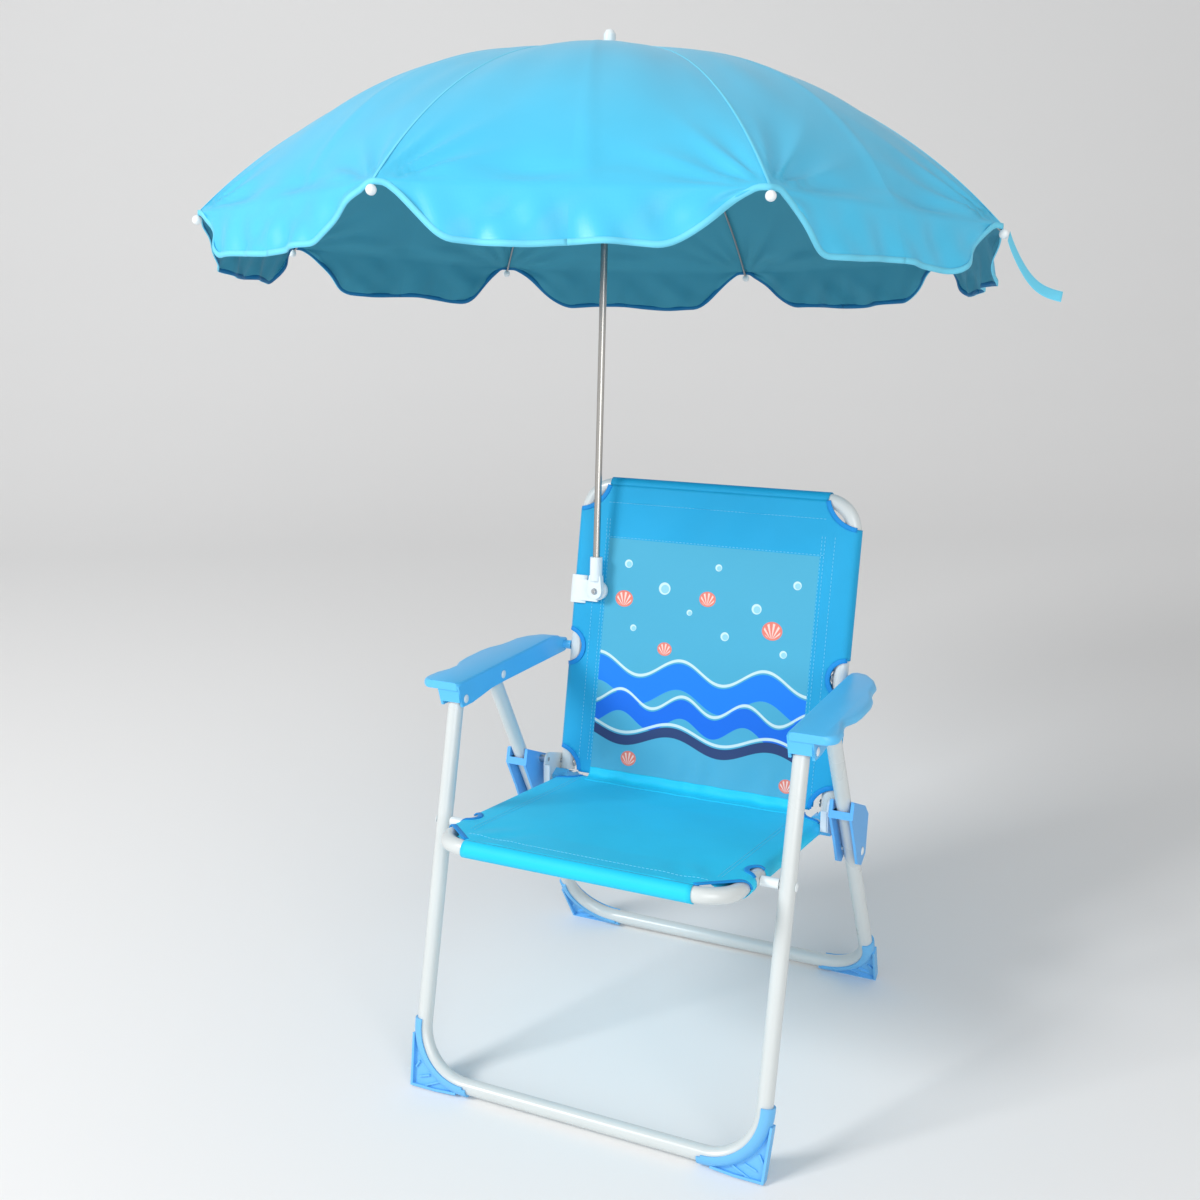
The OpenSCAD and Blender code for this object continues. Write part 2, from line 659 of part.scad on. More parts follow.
// Round cut through a panel at its edge
module scallop(half_w, d, r) {
    both_sides() translate([half_w + sleeve_out, 0, d]) rotate([90, 0, 0])
        cylinder(r = r, h = 60, center = true);
}
seat_sheet_run = seat_len - 11.5;
module sling_seat() {
    color(seat_cloth) leaning(seat_bar, seat_lean) difference() {
        mirror([0, 1, 0]) sling(seat_half_w, seat_sheet_run, seat_bend_r);
        // The front corners are cut straight across, just inside the bend
        both_sides() translate([seat_half_w - seat_bend_r - 1, 0, 0]) rotate([0, 45, 0])
            translate([0, -30, -20]) cube([60, 60, 80]);
        scallop(seat_half_w, seat_pivot_d, seat_notch_r);
        // Room for the seat bolt's inner head, under the cloth
        both_sides() translate([0, 0, seat_pivot_d])
            x_rod(seat_half_w - tube_r - 12, seat_half_w - tube_r + 2, head_d / 2 + 1);
        scallop(seat_half_w, seat_len - 6, hinge_notch_r);
    }
}
module sling_back() {
    color(back_cloth) leaning(top_bar, 180 + back_lean) difference() {
        sling(back_half_w, back_len + back_tail, seat_bend_r);
        scallop(back_half_w, -sleeve_out, corner_cut);
        scallop(back_half_w, back_pivot_d, back_notch_r);
        scallop(back_half_w, back_len + back_tail, hinge_notch_r);
    }
}

// Clamp: a C round the back tube and its fabric, with a disc that the pole socket turns on
clamp_r = sleeve_out + side_gap;
clamp_d = norm(along(p_hinge, back_lean, 0) - p_hinge) + 203;
disc_front = 4.3;
disc_t = 5;
arm_reach = back_half_w + pole_x;
module umbrella_clamp() {
    color(white_paint) difference() {
        union() {
            leaning(p_hinge, back_lean) translate([-back_half_w, 0, clamp_d - clamp_h / 2]) {
                linear_extrude(clamp_h) difference() {
                    circle(clamp_r + clamp_t);
                    circle(clamp_r);
                    translate([3, -clamp_r]) square([20, 2 * clamp_r + 10]);
                }
                translate([0, -clamp_r - clamp_t, 3]) cube([arm_reach, clamp_t, clamp_h - 8]);
            }
            on_pole() translate([0, disc_front + disc_t, screw_s]) rotate([90, 0, 0])
                cylinder(d = disc_d, h = disc_t);
        }
        on_pole() translate([0, 30, screw_s]) rotate([90, 0, 0])
            cylinder(d = screw_d + 2 * pin_gap, h = 40);
        on_pole() translate([0, disc_front + disc_t + 0.1, screw_s]) rotate([90, 0, 0])
            cylinder(d = screw_d * 1.6 + 0.2, h = 2.8, $fn = 6);
        // Keeps the arm clear of the socket's swing
        on_pole() translate([0, disc_front, screw_s]) rotate([90, 0, 0]) cylinder(r = 40, h = 20);
    }
}
module clamp_screw() {
    color(steel) on_pole() translate([0, 0, screw_s]) rotate([90, 0, 0]) difference() {
        union() {
            translate([0, 0, -disc_front - disc_t + 0.4]) cylinder(d = screw_d, h = disc_front + disc_t + 4);
            translate([0, 0, 4.1]) cylinder(d1 = screw_d * 1.9, d2 = screw_d * 1.3, h = 2.2);
        }
        for (a = [0, 90]) rotate([0, 0, a]) translate([-2, -0.4, 5.2]) cube([4, 0.8, 3]);
    }
}
module clamp_nut() {
    color(steel) on_pole() translate([0, disc_front + disc_t - 0.1, screw_s]) rotate([90, 0, 0])
        difference() {
            cylinder(d = screw_d * 1.6, h = 2.5, $fn = 6);
            translate([0, 0, -1]) cylinder(d = screw_d + 2 * pin_gap, h = 5);
        }
}
module pole_socket() {
    color(white_paint) on_pole() difference() {
        union() {
            translate([0, 0, 1]) cylinder(d = socket_d, h = 27);
            rotate([90, 0, 0]) translate([0, 0, -4]) linear_extrude(8) hull() {
                translate([0, screw_s]) circle(8.8);
                translate([-socket_d / 2, 6]) square([socket_d, 1]);
            }
        }
        translate([0, 0, -3]) cylinder(d = pole_d + 2 * pin_gap, h = 40);
        translate([0, 10, screw_s]) rotate([90, 0, 0]) cylinder(d = screw_d + 2 * pin_gap, h = 20);
    }
}
module pole() {
    color(steel) on_pole() translate([0, 0, -2.7]) difference() {
        cylinder(d = pole_d, h = dome_top + 22);
        translate([0, 0, -1]) cylinder(d = pole_d - 1.2, h = dome_top + 30);
    }
}
// Ferrule: the white cap that holds the fabric down on the crown
crown_top = dome_top - canopy_t - 0.9;
module ferrule() {
    color(white_paint) on_pole() translate([0, 0, dome_top + 0.9]) difference() {
        union() {
            cylinder(d1 = 19, d2 = 15, h = 2.6);
            cylinder(d = 11.5, h = 16);
            translate([0, 0, 16]) cylinder(d1 = 11.5, d2 = 13, h = 3);
            translate([0, 0, 19]) cylinder(d = 13, h = 6);
            translate([0, 0, 25]) cylinder(d1 = 13, d2 = 8, h = 4);
        }
        translate([0, 0, -1]) cylinder(d = pole_d + 2 * pin_gap, h = 22);
    }
}
// Slotted hub discs: one slot for each rib or stretcher
module hub_slots(width, z0, h, deep) {
    for (k = [0:7]) rotate([0, 0, first_rib + 45 * k])
        translate([deep, -width / 2, z0]) cube([30, width, h]);
}
module crown() {
    color(white_paint) on_pole() difference() {
        translate([0, 0, pivot_s - 4.6]) cylinder(d = 23, h = crown_top - pivot_s + 4.6);
        translate([0, 0, pivot_s - 20]) cylinder(d = pole_d + 2 * pin_gap, h = 40);
        hub_slots(rib_d + 0.6, pivot_s - 10, 20, hub_r - 2.4);
        for (k = [0:7]) rotate([0, 0, first_rib + 45 * k]) translate([hub_r, 2.4, pivot_s])
            rotate([90, 0, 0]) cylinder(r = 0.8, h = 4.8);
    }
}
runner_bore = pole_d + 0.16;
module runner() {
    color(white_paint) on_pole() difference() {
        union() {
            translate([0, 0, runner_s - 3]) cylinder(d = 23, h = 6);
            translate([0, 0, runner_s - 52]) cylinder(d = 11.6, h = 55);
            translate([0, 0, runner_s - 60]) cylinder(d1 = 16, d2 = 14.5, h = 10);
        }
        translate([0, 0, runner_s - 80]) cylinder(d = runner_bore, h = 100);
        hub_slots(stay_d + 0.7, runner_s - 4, 8, 5.8);
    }
}

// Ribs: spring wire bent to the dome, with an eye at the crown and a ball at the tip
module rib_frame(k) { on_pole() rotate([0, 0, first_rib + 45 * (k - 1)]) children(); }
module y_rod(r, h) { rotate([90, 0, 0]) cylinder(r = r, h = h, center = true); }
module rib(k) {
    color(steel) rib_frame(k) difference() {
        union() {
            translate([0, 0, dome_c]) rotate([90, 0, 0]) rotate([0, 0, 90 - rib_a1])
                rotate_extrude(angle = rib_a1 - rib_a0) translate([rib_r, 0]) circle(d = rib_d);
            translate([hub_r, 0, pivot_s]) y_rod(1.5, rib_d);
            translate([hub_r, 0, pivot_s]) y_rod(0.75, 4.4);
            translate([stay_r, 0, stay_s]) y_rod(2.2, rib_d);
            translate([rim_r, 0, tip_s]) sphere(d = tip_d);
        }
        translate([stay_r, 0, stay_s]) y_rod(0.8, 10);
    }
}
// Stretchers: straight wire with a fork that straddles the rib
stay_dir = atan2(stay_r - hub_r, stay_s - runner_s);
module stretcher(k) {
    fork_in = rib_d / 2 + 0.25;
    color(steel) rib_frame(k) translate([stay_r, 0, stay_s]) rotate([0, stay_dir + 180, 0]) {
        translate([0, 0, 7.6]) cylinder(d = stay_d, h = stay_len - 7.6);
        translate([0, 0, stay_len]) y_rod(1.5, stay_d);
        for (s = [-1, 1]) translate([0, s * (fork_in + 0.4), 0]) {
            y_rod(1.7, 0.8);
            translate([-1, -0.4, 0]) cube([2, 0.8, 9]);
        }
        translate([-1, -fork_in - 0.8, 7.6]) cube([2, 2 * fork_in + 1.6, 1.6]);
        y_rod(0.75, 2 * fork_in + 0.2);
    }
}

// Canopy: eight panels centred on the ribs, each with its share of the scalloped valance
function gore(a) = cos(22.5) / cos(22.5 - abs(a));
function smooth(t) = t <= 0 ? 0 : t >= 1 ? 1 : t * t * (3 - 2 * t);
function canopy_point(t, a, r) =
    let (p = cloth_a1 * t, rho = r * sin(p) * gore(a), gap = 0.2 * a / 22.5)
    [rho * cos(a) + gap * sin(a), rho * sin(a) - gap * cos(a), dome_c + r * cos(p)];
function valance_point(t, a, r) =
    let (e = canopy_point(1, a, r), drop = valance * smooth(abs(a) / 8.5) * t + 0.3 * t)
    [e[0] * (1 + 0.03 * t * smooth(abs(a) / 12)), e[1] * (1 + 0.03 * t * smooth(abs(a) / 12)),
     e[2] - drop];
panel_angles = [-22.5, -17, -11, -6, -3, 0, 3, 6, 11, 17, 22.5];
panel_rings = [0.013, 0.12, 0.25, 0.375, 0.5, 0.625, 0.75, 0.875, 1];
function panel_skin(r) = concat(
    [for (t = panel_rings) [for (a = panel_angles) canopy_point(t, a, r)]],
    [for (t = [0.5, 1]) [for (a = panel_angles) valance_point(t, a, r)]]);
panel_cols = len(panel_angles);
panel_rows = len(panel_rings) + 2;
// Faces between neighbouring rows of one skin; its quads lean the same way inside and outside
function skin_faces(first, out) = [
    for (i = [0:panel_rows - 2]) for (j = [0:panel_cols - 2])
        let (p = first + i * panel_cols + j, q = p + panel_cols, mid = j < (panel_cols - 1) / 2)
            for (f = mid ? [[p, q, q + 1], [p, q + 1, p + 1]] : [[p, q, p + 1], [p + 1, q, q + 1]])
                out ? [f[2], f[1], f[0]] : f];
// Faces that close the panel along one edge, from the outer skin to the inner
function edge_faces(line, skin) = [
    for (i = [0:len(line) - 2])
        for (f = [[line[i], line[i + 1] + skin, line[i + 1]], [line[i], line[i] + skin, line[i + 1] + skin]]) f];
module canopy_panel(k) {
    skins = [for (r = [dome_r, dome_r - canopy_t]) for (row = panel_skin(r)) each row];
    half = len(skins) / 2;
    last = (panel_rows - 1) * panel_cols;
    color(canopy_cloth) rib_frame(k) polyhedron(skins, concat(
        skin_faces(0, true), skin_faces(half, false),
        edge_faces([for (j = [0:panel_cols - 1]) j], half),
        edge_faces([for (j = [panel_cols - 1:-1:0]) last + j], half),
        edge_faces([for (i = [panel_rows - 1:-1:0]) i * panel_cols], half),
        edge_faces([for (i = [0:panel_rows - 1]) i * panel_cols + panel_cols - 1], half)), convexity = 8);
}
// Tie strap: a doubled band sewn to the valance at one tip, held out and drooping
module tie_strap() {
    n = 10;
    d = strap_len / n;
    path = [for (i = [0:n]) let (t = i / n)
        [strap_len * strap_reach * t, 0, -strap_len * (0.45 * t + 0.22 * t * t) + 5 * sin(250 * t)]];
    color(canopy_cloth) translate(tips[3] + [tip_d / 2 + 0.4, 0, -2])
        loft([for (i = [0:n]) let (w = strap_w / 2, p = path[i], tw = strap_turn)
            [for (c = [[-w, -0.6], [w, -0.6], [w, 0.6], [-w, 0.6]])
                p + [0, c[0] * cos(tw), c[0] * sin(tw) + c[1]]]]);
}

place() front_leg_frame();
place() rear_leg_frame();
place() seat_frame();
place() back_frame();
place() armrest_left();
place() armrest_right();
place() front_foot_caps();
place() rear_foot_caps();
place() lock_link_left();
place() lock_link_right();
place() armrest_rivets();
place() back_spacers();
place() seat_bolts();
place() seat_spacers();
place() link_rivets();
place() hinge_pins();
place() bracket_studs();
place() bracket_rivets();
place() back_rivets();
place() hinge_plate_left();
place() hinge_plate_right();
place() hinge_block_left();
place() hinge_block_right();
place() sling_seat();
place() sling_back();
place() umbrella_clamp();
place() clamp_screw();
place() clamp_nut();
place() pole_socket();
place() pole();
place() ferrule();
place() crown();
place() runner();
for (k = [1:8]) {
    place() rib(k);
    place() stretcher(k);
    place() canopy_panel(k);
}
place() tie_strap();
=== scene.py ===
"""Looks of a folding child's beach chair with a clamp-on parasol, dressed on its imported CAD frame."""
import json
import math

import bmesh
import bpy
import numpy as np
from mathutils import Matrix, Vector

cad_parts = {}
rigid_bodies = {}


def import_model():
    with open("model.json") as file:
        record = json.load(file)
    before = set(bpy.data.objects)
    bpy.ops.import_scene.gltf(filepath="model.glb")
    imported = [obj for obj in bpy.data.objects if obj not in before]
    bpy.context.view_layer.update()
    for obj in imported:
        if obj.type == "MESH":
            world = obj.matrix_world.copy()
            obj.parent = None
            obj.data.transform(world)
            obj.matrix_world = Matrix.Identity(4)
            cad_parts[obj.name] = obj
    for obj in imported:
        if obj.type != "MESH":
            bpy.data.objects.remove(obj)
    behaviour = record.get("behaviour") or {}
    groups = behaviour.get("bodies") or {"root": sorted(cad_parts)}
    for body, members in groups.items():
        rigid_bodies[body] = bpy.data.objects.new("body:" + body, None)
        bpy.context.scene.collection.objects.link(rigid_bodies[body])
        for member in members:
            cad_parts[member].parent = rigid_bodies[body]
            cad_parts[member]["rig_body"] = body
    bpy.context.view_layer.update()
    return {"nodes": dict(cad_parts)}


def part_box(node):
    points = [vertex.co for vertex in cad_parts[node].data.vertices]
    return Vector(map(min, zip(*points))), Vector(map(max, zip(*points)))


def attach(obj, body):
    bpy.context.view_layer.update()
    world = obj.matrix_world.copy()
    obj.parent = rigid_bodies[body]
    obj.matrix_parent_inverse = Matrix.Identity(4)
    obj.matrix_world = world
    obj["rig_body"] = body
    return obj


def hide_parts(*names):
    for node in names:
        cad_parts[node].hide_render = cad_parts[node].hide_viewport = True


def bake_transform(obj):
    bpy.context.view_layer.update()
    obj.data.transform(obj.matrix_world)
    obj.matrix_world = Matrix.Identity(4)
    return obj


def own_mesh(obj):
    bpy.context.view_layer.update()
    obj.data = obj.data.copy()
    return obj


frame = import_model()

# The stage
# A pale floor that runs up into a backdrop, soft light from the left and a weaker one from the right,
# and the camera at the photograph's place. Chair millimetres are measured from the
# middle of the front bar's place on the floor, as in the drawings of the chair.
bar_low, bar_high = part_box("front_leg_frame")
MIDDLE_X = (bar_low.x + bar_high.x) / 2
FRONT_Y = bar_low.y + 0.008


def chair(x, y, z):
    """A place on the chair, given in millimetres, as a point of the scene."""
    return Vector((MIDDLE_X + x / 1000, FRONT_Y + y / 1000, z / 1000))


def linear(red, green, blue):
    """A colour as seen on a screen, 0 to 255, as the numbers that a shader takes."""
    return tuple((c / 255 / 12.92 if c / 255 <= 0.04045 else ((c / 255 + 0.055) / 1.055) ** 2.4)
                 for c in (red, green, blue)) + (1.0,)


camera_data = bpy.data.cameras.new("camera")
camera_data.sensor_width = 36.0
camera_data.lens = 1415.8 / 1200 * 36.0
camera_data.clip_end = 50.0
camera = bpy.data.objects.new("camera", camera_data)
bpy.context.scene.collection.objects.link(camera)
turn, tilt, roll = math.radians(25.69), math.radians(16.29), math.radians(-1.33)
backward = Vector((math.sin(turn) * math.cos(tilt), -math.cos(turn) * math.cos(tilt), math.sin(tilt)))
sideways = (-backward).cross(Vector((0, 0, 1))).normalized()
upward = sideways.cross(-backward)
right = math.cos(roll) * sideways + math.sin(roll) * upward
up = -math.sin(roll) * sideways + math.cos(roll) * upward
turned = Matrix((right, up, backward)).transposed().to_4x4()
camera.matrix_world = Matrix.Translation(chair(546.3, -1063.2, 892.0)) @ turned
bpy.context.scene.camera = camera

floor_mesh = bpy.data.meshes.new("floor")
sweep = [(-3.2, 0.0), (2.0, 0.0)] + [(2.0 + 0.9 * math.sin(math.radians(a)),
         0.9 - 0.9 * math.cos(math.radians(a))) for a in range(15, 91, 15)] + [(2.9, 4.5)]
floor_mesh.from_pydata([(x, y, z) for y, z in sweep for x in (-6.0, 6.0)], [],
                       [(2 * i, 2 * i + 1, 2 * i + 3, 2 * i + 2) for i in range(len(sweep) - 1)])
floor = bpy.data.objects.new("floor", floor_mesh)
floor_mesh.transform(Matrix.Rotation(math.radians(25.7), 4, "Z"))
bpy.context.scene.collection.objects.link(floor)
for face in floor_mesh.polygons:
    face.use_smooth = True
floor_paint = bpy.data.materials.new("floor_paint")
floor_paint.use_nodes = True
tree = floor_paint.node_tree
shade = tree.nodes["Principled BSDF"]
shade.inputs["Base Color"].default_value = (0.86, 0.86, 0.86, 1)
shade.inputs["Roughness"].default_value = 0.9
shade.inputs["Specular IOR Level"].default_value = 0.1
floor_mesh.materials.append(floor_paint)

world = bpy.data.worlds.new("studio")
bpy.context.scene.world = world
world.use_nodes = True
nodes, links = world.node_tree.nodes, world.node_tree.links
nodes.clear()
sky = nodes.new("ShaderNodeBackground")
sky.inputs["Color"].default_value = (1, 1, 1, 1)
sky.inputs["Strength"].default_value = 0.46
seen = nodes.new("ShaderNodeBackground")
seen.inputs["Color"].default_value = (1, 1, 1, 1)
seen.inputs["Strength"].default_value = 1.0
path = nodes.new("ShaderNodeLightPath")
either = nodes.new("ShaderNodeMath")
either.operation = "MAXIMUM"
mirror_rays = nodes.new("ShaderNodeMath")
mirror_rays.operation = "MAXIMUM"
mix = nodes.new("ShaderNodeMixShader")
out = nodes.new("ShaderNodeOutputWorld")
links.new(path.outputs["Is Glossy Ray"], mirror_rays.inputs[0])
links.new(path.outputs["Is Transmission Ray"], mirror_rays.inputs[1])
links.new(path.outputs["Is Camera Ray"], either.inputs[0])
links.new(mirror_rays.outputs[0], either.inputs[1])
links.new(either.outputs[0], mix.inputs[0])
links.new(sky.outputs[0], mix.inputs[1])
links.new(seen.outputs[0], mix.inputs[2])
links.new(mix.outputs[0], out.inputs["Surface"])


def soft_lamp(name, place, aim, size, power):
    """A square soft box that points at a place."""
    data = bpy.data.lights.new(name, "AREA")
    data.shape = "SQUARE"
    data.size = size
    data.energy = power
    lamp = bpy.data.objects.new(name, data)
    bpy.context.scene.collection.objects.link(lamp)
    facing = (Vector(aim) - Vector(place)).to_track_quat("-Z", "Y").to_matrix().to_4x4()
    lamp.matrix_world = Matrix.Translation(Vector(place)) @ facing


soft_lamp("key_lamp", (-1.7, -2.5, 2.35), (0.0, 0.0, 0.5), 1.0, 74)
soft_lamp("fill_lamp", (2.0, -2.6, 1.5), (0.05, 0.0, 0.55), 2.0, 40)
bpy.context.scene.view_settings.view_transform = "Standard"


# Tube frame
# Four bent U frames of 16 mm steel tube, powder coated glossy white.
# The coat has a faint orange peel and is a little duller where hands and sand rub it.
def finish_for(name, colour, roughness, grain, grain_depth, wear=0.06, metal=0.0, coat=0.0):
    """A finish with a fine surface grain and a slow drift in colour and gloss over the piece."""
    material = bpy.data.materials.new(name)
    material.use_nodes = True
    nodes, links = material.node_tree.nodes, material.node_tree.links
    shader = nodes["Principled BSDF"]
    shader.inputs["Metallic"].default_value = metal
    shader.inputs["Coat Weight"].default_value = coat
    shader.inputs["Coat Roughness"].default_value = 0.15
    where = nodes.new("ShaderNodeTexCoord")
    drift = nodes.new("ShaderNodeTexNoise")
    drift.inputs["Scale"].default_value = 14.0
    drift.inputs["Detail"].default_value = 4.0
    links.new(where.outputs["Object"], drift.inputs["Vector"])
    tone = nodes.new("ShaderNodeValToRGB")
    tone.color_ramp.elements[0].position = 0.25
    tone.color_ramp.elements[1].position = 0.75
    darker = tuple(c * (1 - wear) for c in colour[:3]) + (1,)
    tone.color_ramp.elements[0].color = darker
    tone.color_ramp.elements[1].color = colour
    links.new(drift.outputs["Fac"], tone.inputs["Fac"])
    links.new(tone.outputs["Color"], shader.inputs["Base Color"])
    gloss = nodes.new("ShaderNodeMapRange")
    gloss.inputs["To Min"].default_value = roughness * 0.85
    gloss.inputs["To Max"].default_value = min(1.0, roughness * 1.2)
    links.new(drift.outputs["Fac"], gloss.inputs["Value"])
    links.new(gloss.outputs["Result"], shader.inputs["Roughness"])
    fine = nodes.new("ShaderNodeTexNoise")
    fine.inputs["Scale"].default_value = grain
    fine.inputs["Detail"].default_value = 2.0
    links.new(where.outputs["Object"], fine.inputs["Vector"])
    bump = nodes.new("ShaderNodeBump")
    bump.inputs["Strength"].default_value = 0.35
    bump.inputs["Distance"].default_value = grain_depth
    links.new(fine.outputs["Fac"], bump.inputs["Height"])
    links.new(bump.outputs["Normal"], shader.inputs["Normal"])
    return material


def refined(node, material, edge=0.0004, crease=32):
    """A moulded or bent piece with its real small edge radius, in place of the CAD node's sharp one."""
    source = frame["nodes"][node]
    mesh = source.data.copy()
    work = bmesh.new()
    work.from_mesh(mesh)
    bmesh.ops.remove_doubles(work, verts=work.verts, dist=2e-6)
    bmesh.ops.dissolve_limit(work, angle_limit=math.radians(1.5), verts=work.verts, edges=work.edges)
    for a_face in work.faces:
        a_face.smooth = True
    for an_edge in work.edges:
        an_edge.smooth = len(an_edge.link_faces) == 2 and \
            an_edge.calc_face_angle(0) < math.radians(crease)
    work.to_mesh(mesh)
    work.free()
    mesh.materials.clear()
    mesh.materials.append(material)
    piece = bpy.data.objects.new(node + "_finished", mesh)
    bpy.context.scene.collection.objects.link(piece)
    if edge:
        bevel = piece.modifiers.new("edge", "BEVEL")
        bevel.width = edge
        bevel.segments = 2
        bevel.limit_method = "ANGLE"
        bevel.angle_limit = math.radians(crease)
        bevel.harden_normals = True
    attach(piece, source["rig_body"])
    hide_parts(node)
    return piece


def dress(material, *names):
    """Gives carried-over CAD nodes their finish."""
    for name in names:
        data = frame["nodes"][name].data
        data.materials.clear()
        data.materials.append(material)


white_coat = finish_for("white_powder_coat", linear(212, 218, 218), 0.28, 900, 0.00008, 0.03, coat=0.4)
for tube in ("front_leg_frame", "rear_leg_frame", "seat_frame", "back_frame"):
    refined(tube, white_coat, edge=0.0003)

# Foot caps
# Light blue polypropylene shoes pushed over the bends of both leg frames.
# A ribbed web fills the corner down to the floor.
cap_plastic = finish_for("cap_plastic", linear(112, 190, 244), 0.42, 500, 0.0001, 0.07)
for cap in ("front_foot_caps", "rear_foot_caps"):
    refined(cap, cap_plastic, edge=0.0005)

# Armrests
# Injection moulded armrests in light blue with a satin top, hollow underneath,
# and the channel that straddles the tops of both legs.
arm_plastic = finish_for("armrest_plastic", linear(92, 196, 250), 0.34, 700, 0.00008, 0.06)
for arm in ("armrest_left", "armrest_right"):
    refined(arm, arm_plastic, edge=0.0008)
dress(arm_plastic, "back_spacers")

# Lock links and hinges
# Moulded blue links and hinge blocks, with white painted steel plates
# that tie the seat, the back and the links together.
link_plastic = finish_for("link_plastic", linear(94, 178, 244), 0.36, 700, 0.00008, 0.06)
for link in ("lock_link_left", "lock_link_right"):
    refined(link, link_plastic, edge=0.0007)
for block in ("hinge_block_left", "hinge_block_right"):
    refined(block, arm_plastic, edge=0.0005)
plate_coat = finish_for("plate_coat", linear(228, 236, 238), 0.33, 800, 0.00008, 0.05, coat=0.2)
for plate in ("hinge_plate_left", "hinge_plate_right"):
    refined(plate, plate_coat, edge=0.0004)

# Rivets and pins
# Zinc plated and white painted steel fasteners with low domed heads.
rivet_coat = finish_for("rivet_coat", linear(232, 240, 243), 0.3, 900, 0.00005, 0.06, coat=0.3)
zinc = finish_for("zinc_plate", linear(188, 190, 192), 0.34, 1200, 0.00005, 0.12, metal=1.0)
for rivet in ("armrest_rivets", "seat_bolts", "link_rivets", "bracket_rivets", "back_rivets"):
    refined(rivet, rivet_coat, edge=0.0003)
dress(zinc, "hinge_pins", "bracket_studs", "clamp_screw", "clamp_nut")
dress(rivet_coat, "seat_spacers")


# Seat and back fabric
# Coated polyester cloth with sewn sleeves over the side tubes and the cross bars.
# Round notches at the pivots and cut corners are bound with a deeper blue tape.
def cloth_finish(name, colour, weave=1500.0, rough=0.62, spread=0.10):
    """Plain woven cloth: two crossed sets of threads, a slow drift of tone, a soft sheen."""
    material = bpy.data.materials.new(name)
    material.use_nodes = True
    nodes, links = material.node_tree.nodes, material.node_tree.links
    shader = nodes["Principled BSDF"]
    shader.inputs["Roughness"].default_value = rough
    shader.inputs["Sheen Weight"].default_value = 0.05
    shader.inputs["Sheen Roughness"].default_value = 0.4
    shader.inputs["Specular IOR Level"].default_value = 0.35
    uv = nodes.new("ShaderNodeUVMap")
    uv.uv_map = "cloth"
    bands = []
    for direction in ("X", "Y"):
        wave = nodes.new("ShaderNodeTexWave")
        wave.bands_direction = direction
        wave.inputs["Scale"].default_value = weave / 6.2832
        wave.inputs["Distortion"].default_value = 0.6
        wave.inputs["Detail"].default_value = 1.0
        links.new(uv.outputs["UV"], wave.inputs["Vector"])
        bands.append(wave)
    threads = nodes.new("ShaderNodeMath")
    threads.operation = "MAXIMUM"
    links.new(bands[0].outputs["Fac"], threads.inputs[0])
    links.new(bands[1].outputs["Fac"], threads.inputs[1])
    bump = nodes.new("ShaderNodeBump")
    bump.inputs["Strength"].default_value = 0.25
    bump.inputs["Distance"].default_value = 0.0002
    links.new(threads.outputs[0], bump.inputs["Height"])
    links.new(bump.outputs["Normal"], shader.inputs["Normal"])
    drift = nodes.new("ShaderNodeTexNoise")
    drift.inputs["Scale"].default_value = 9.0
    drift.inputs["Detail"].default_value = 5.0
    links.new(uv.outputs["UV"], drift.inputs["Vector"])
    tone = nodes.new("ShaderNodeValToRGB")
    tone.color_ramp.elements[0].position = 0.3
    tone.color_ramp.elements[1].position = 0.7
    tone.color_ramp.elements[0].color = tuple(c * (1 - spread) for c in colour[:3]) + (1,)
    tone.color_ramp.elements[1].color = colour
    links.new(drift.outputs["Fac"], tone.inputs["Fac"])
    links.new(tone.outputs["Color"], shader.inputs["Base Color"])
    return material


SLEEVE = 8.7
SEAT_HALF, BACK_HALF = 150.6, 156.4
SEAT_FRONT_Y, SEAT_FRONT_Z = 4.7, 279
HINGE_Y, HINGE_Z = 302.5, 248
BACK_LENGTH = 325
seat_dir = (math.sin(math.radians(99.7)), math.cos(math.radians(99.7)))
back_lean = math.atan2(33.5, 132.0)


def on_seat(u, s, h):
    """Seat place: u to the right, s from the front bar to the rear, h above the tubes' plane."""
    return chair(u, SEAT_FRONT_Y + s * seat_dir[0] - h * seat_dir[1],
                 SEAT_FRONT_Z + s * seat_dir[1] + h * seat_dir[0])


def on_back(u, s, h):
    """Back place: u to the right, s down from the top bar, h in front of the tubes' plane."""
    t = BACK_LENGTH - s
    return chair(u, HINGE_Y + t * math.sin(back_lean) - h * math.cos(back_lean),
                 HINGE_Z + t * math.cos(back_lean) + h * math.sin(back_lean))


def sleeve_path(half):
    """Cross-section of a panel: (projected u, height, flat distance) from the left hem to the right."""
    side = [(half - 20.0, 7.6), (half - 15.0, 5.2), (half - 10.5, 0.2)]
    side += [(half + SLEEVE * math.cos(math.radians(a)), SLEEVE * math.sin(math.radians(a)))
             for a in range(-150, 91, 15)]
    inner = [(x, SLEEVE) for x in np.linspace(half - 6, -half + 6, 61)]
    full = side + inner + [(-x, z) for x, z in reversed(side)]
    flat = [0.0]
    for (x0, z0), (x1, z1) in zip(full, full[1:]):
        flat.append(flat[-1] + math.hypot(x1 - x0, z1 - z0))
    middle = flat[-1] / 2
    return [(x, z, middle - f) for (x, z), f in zip(full, flat)]


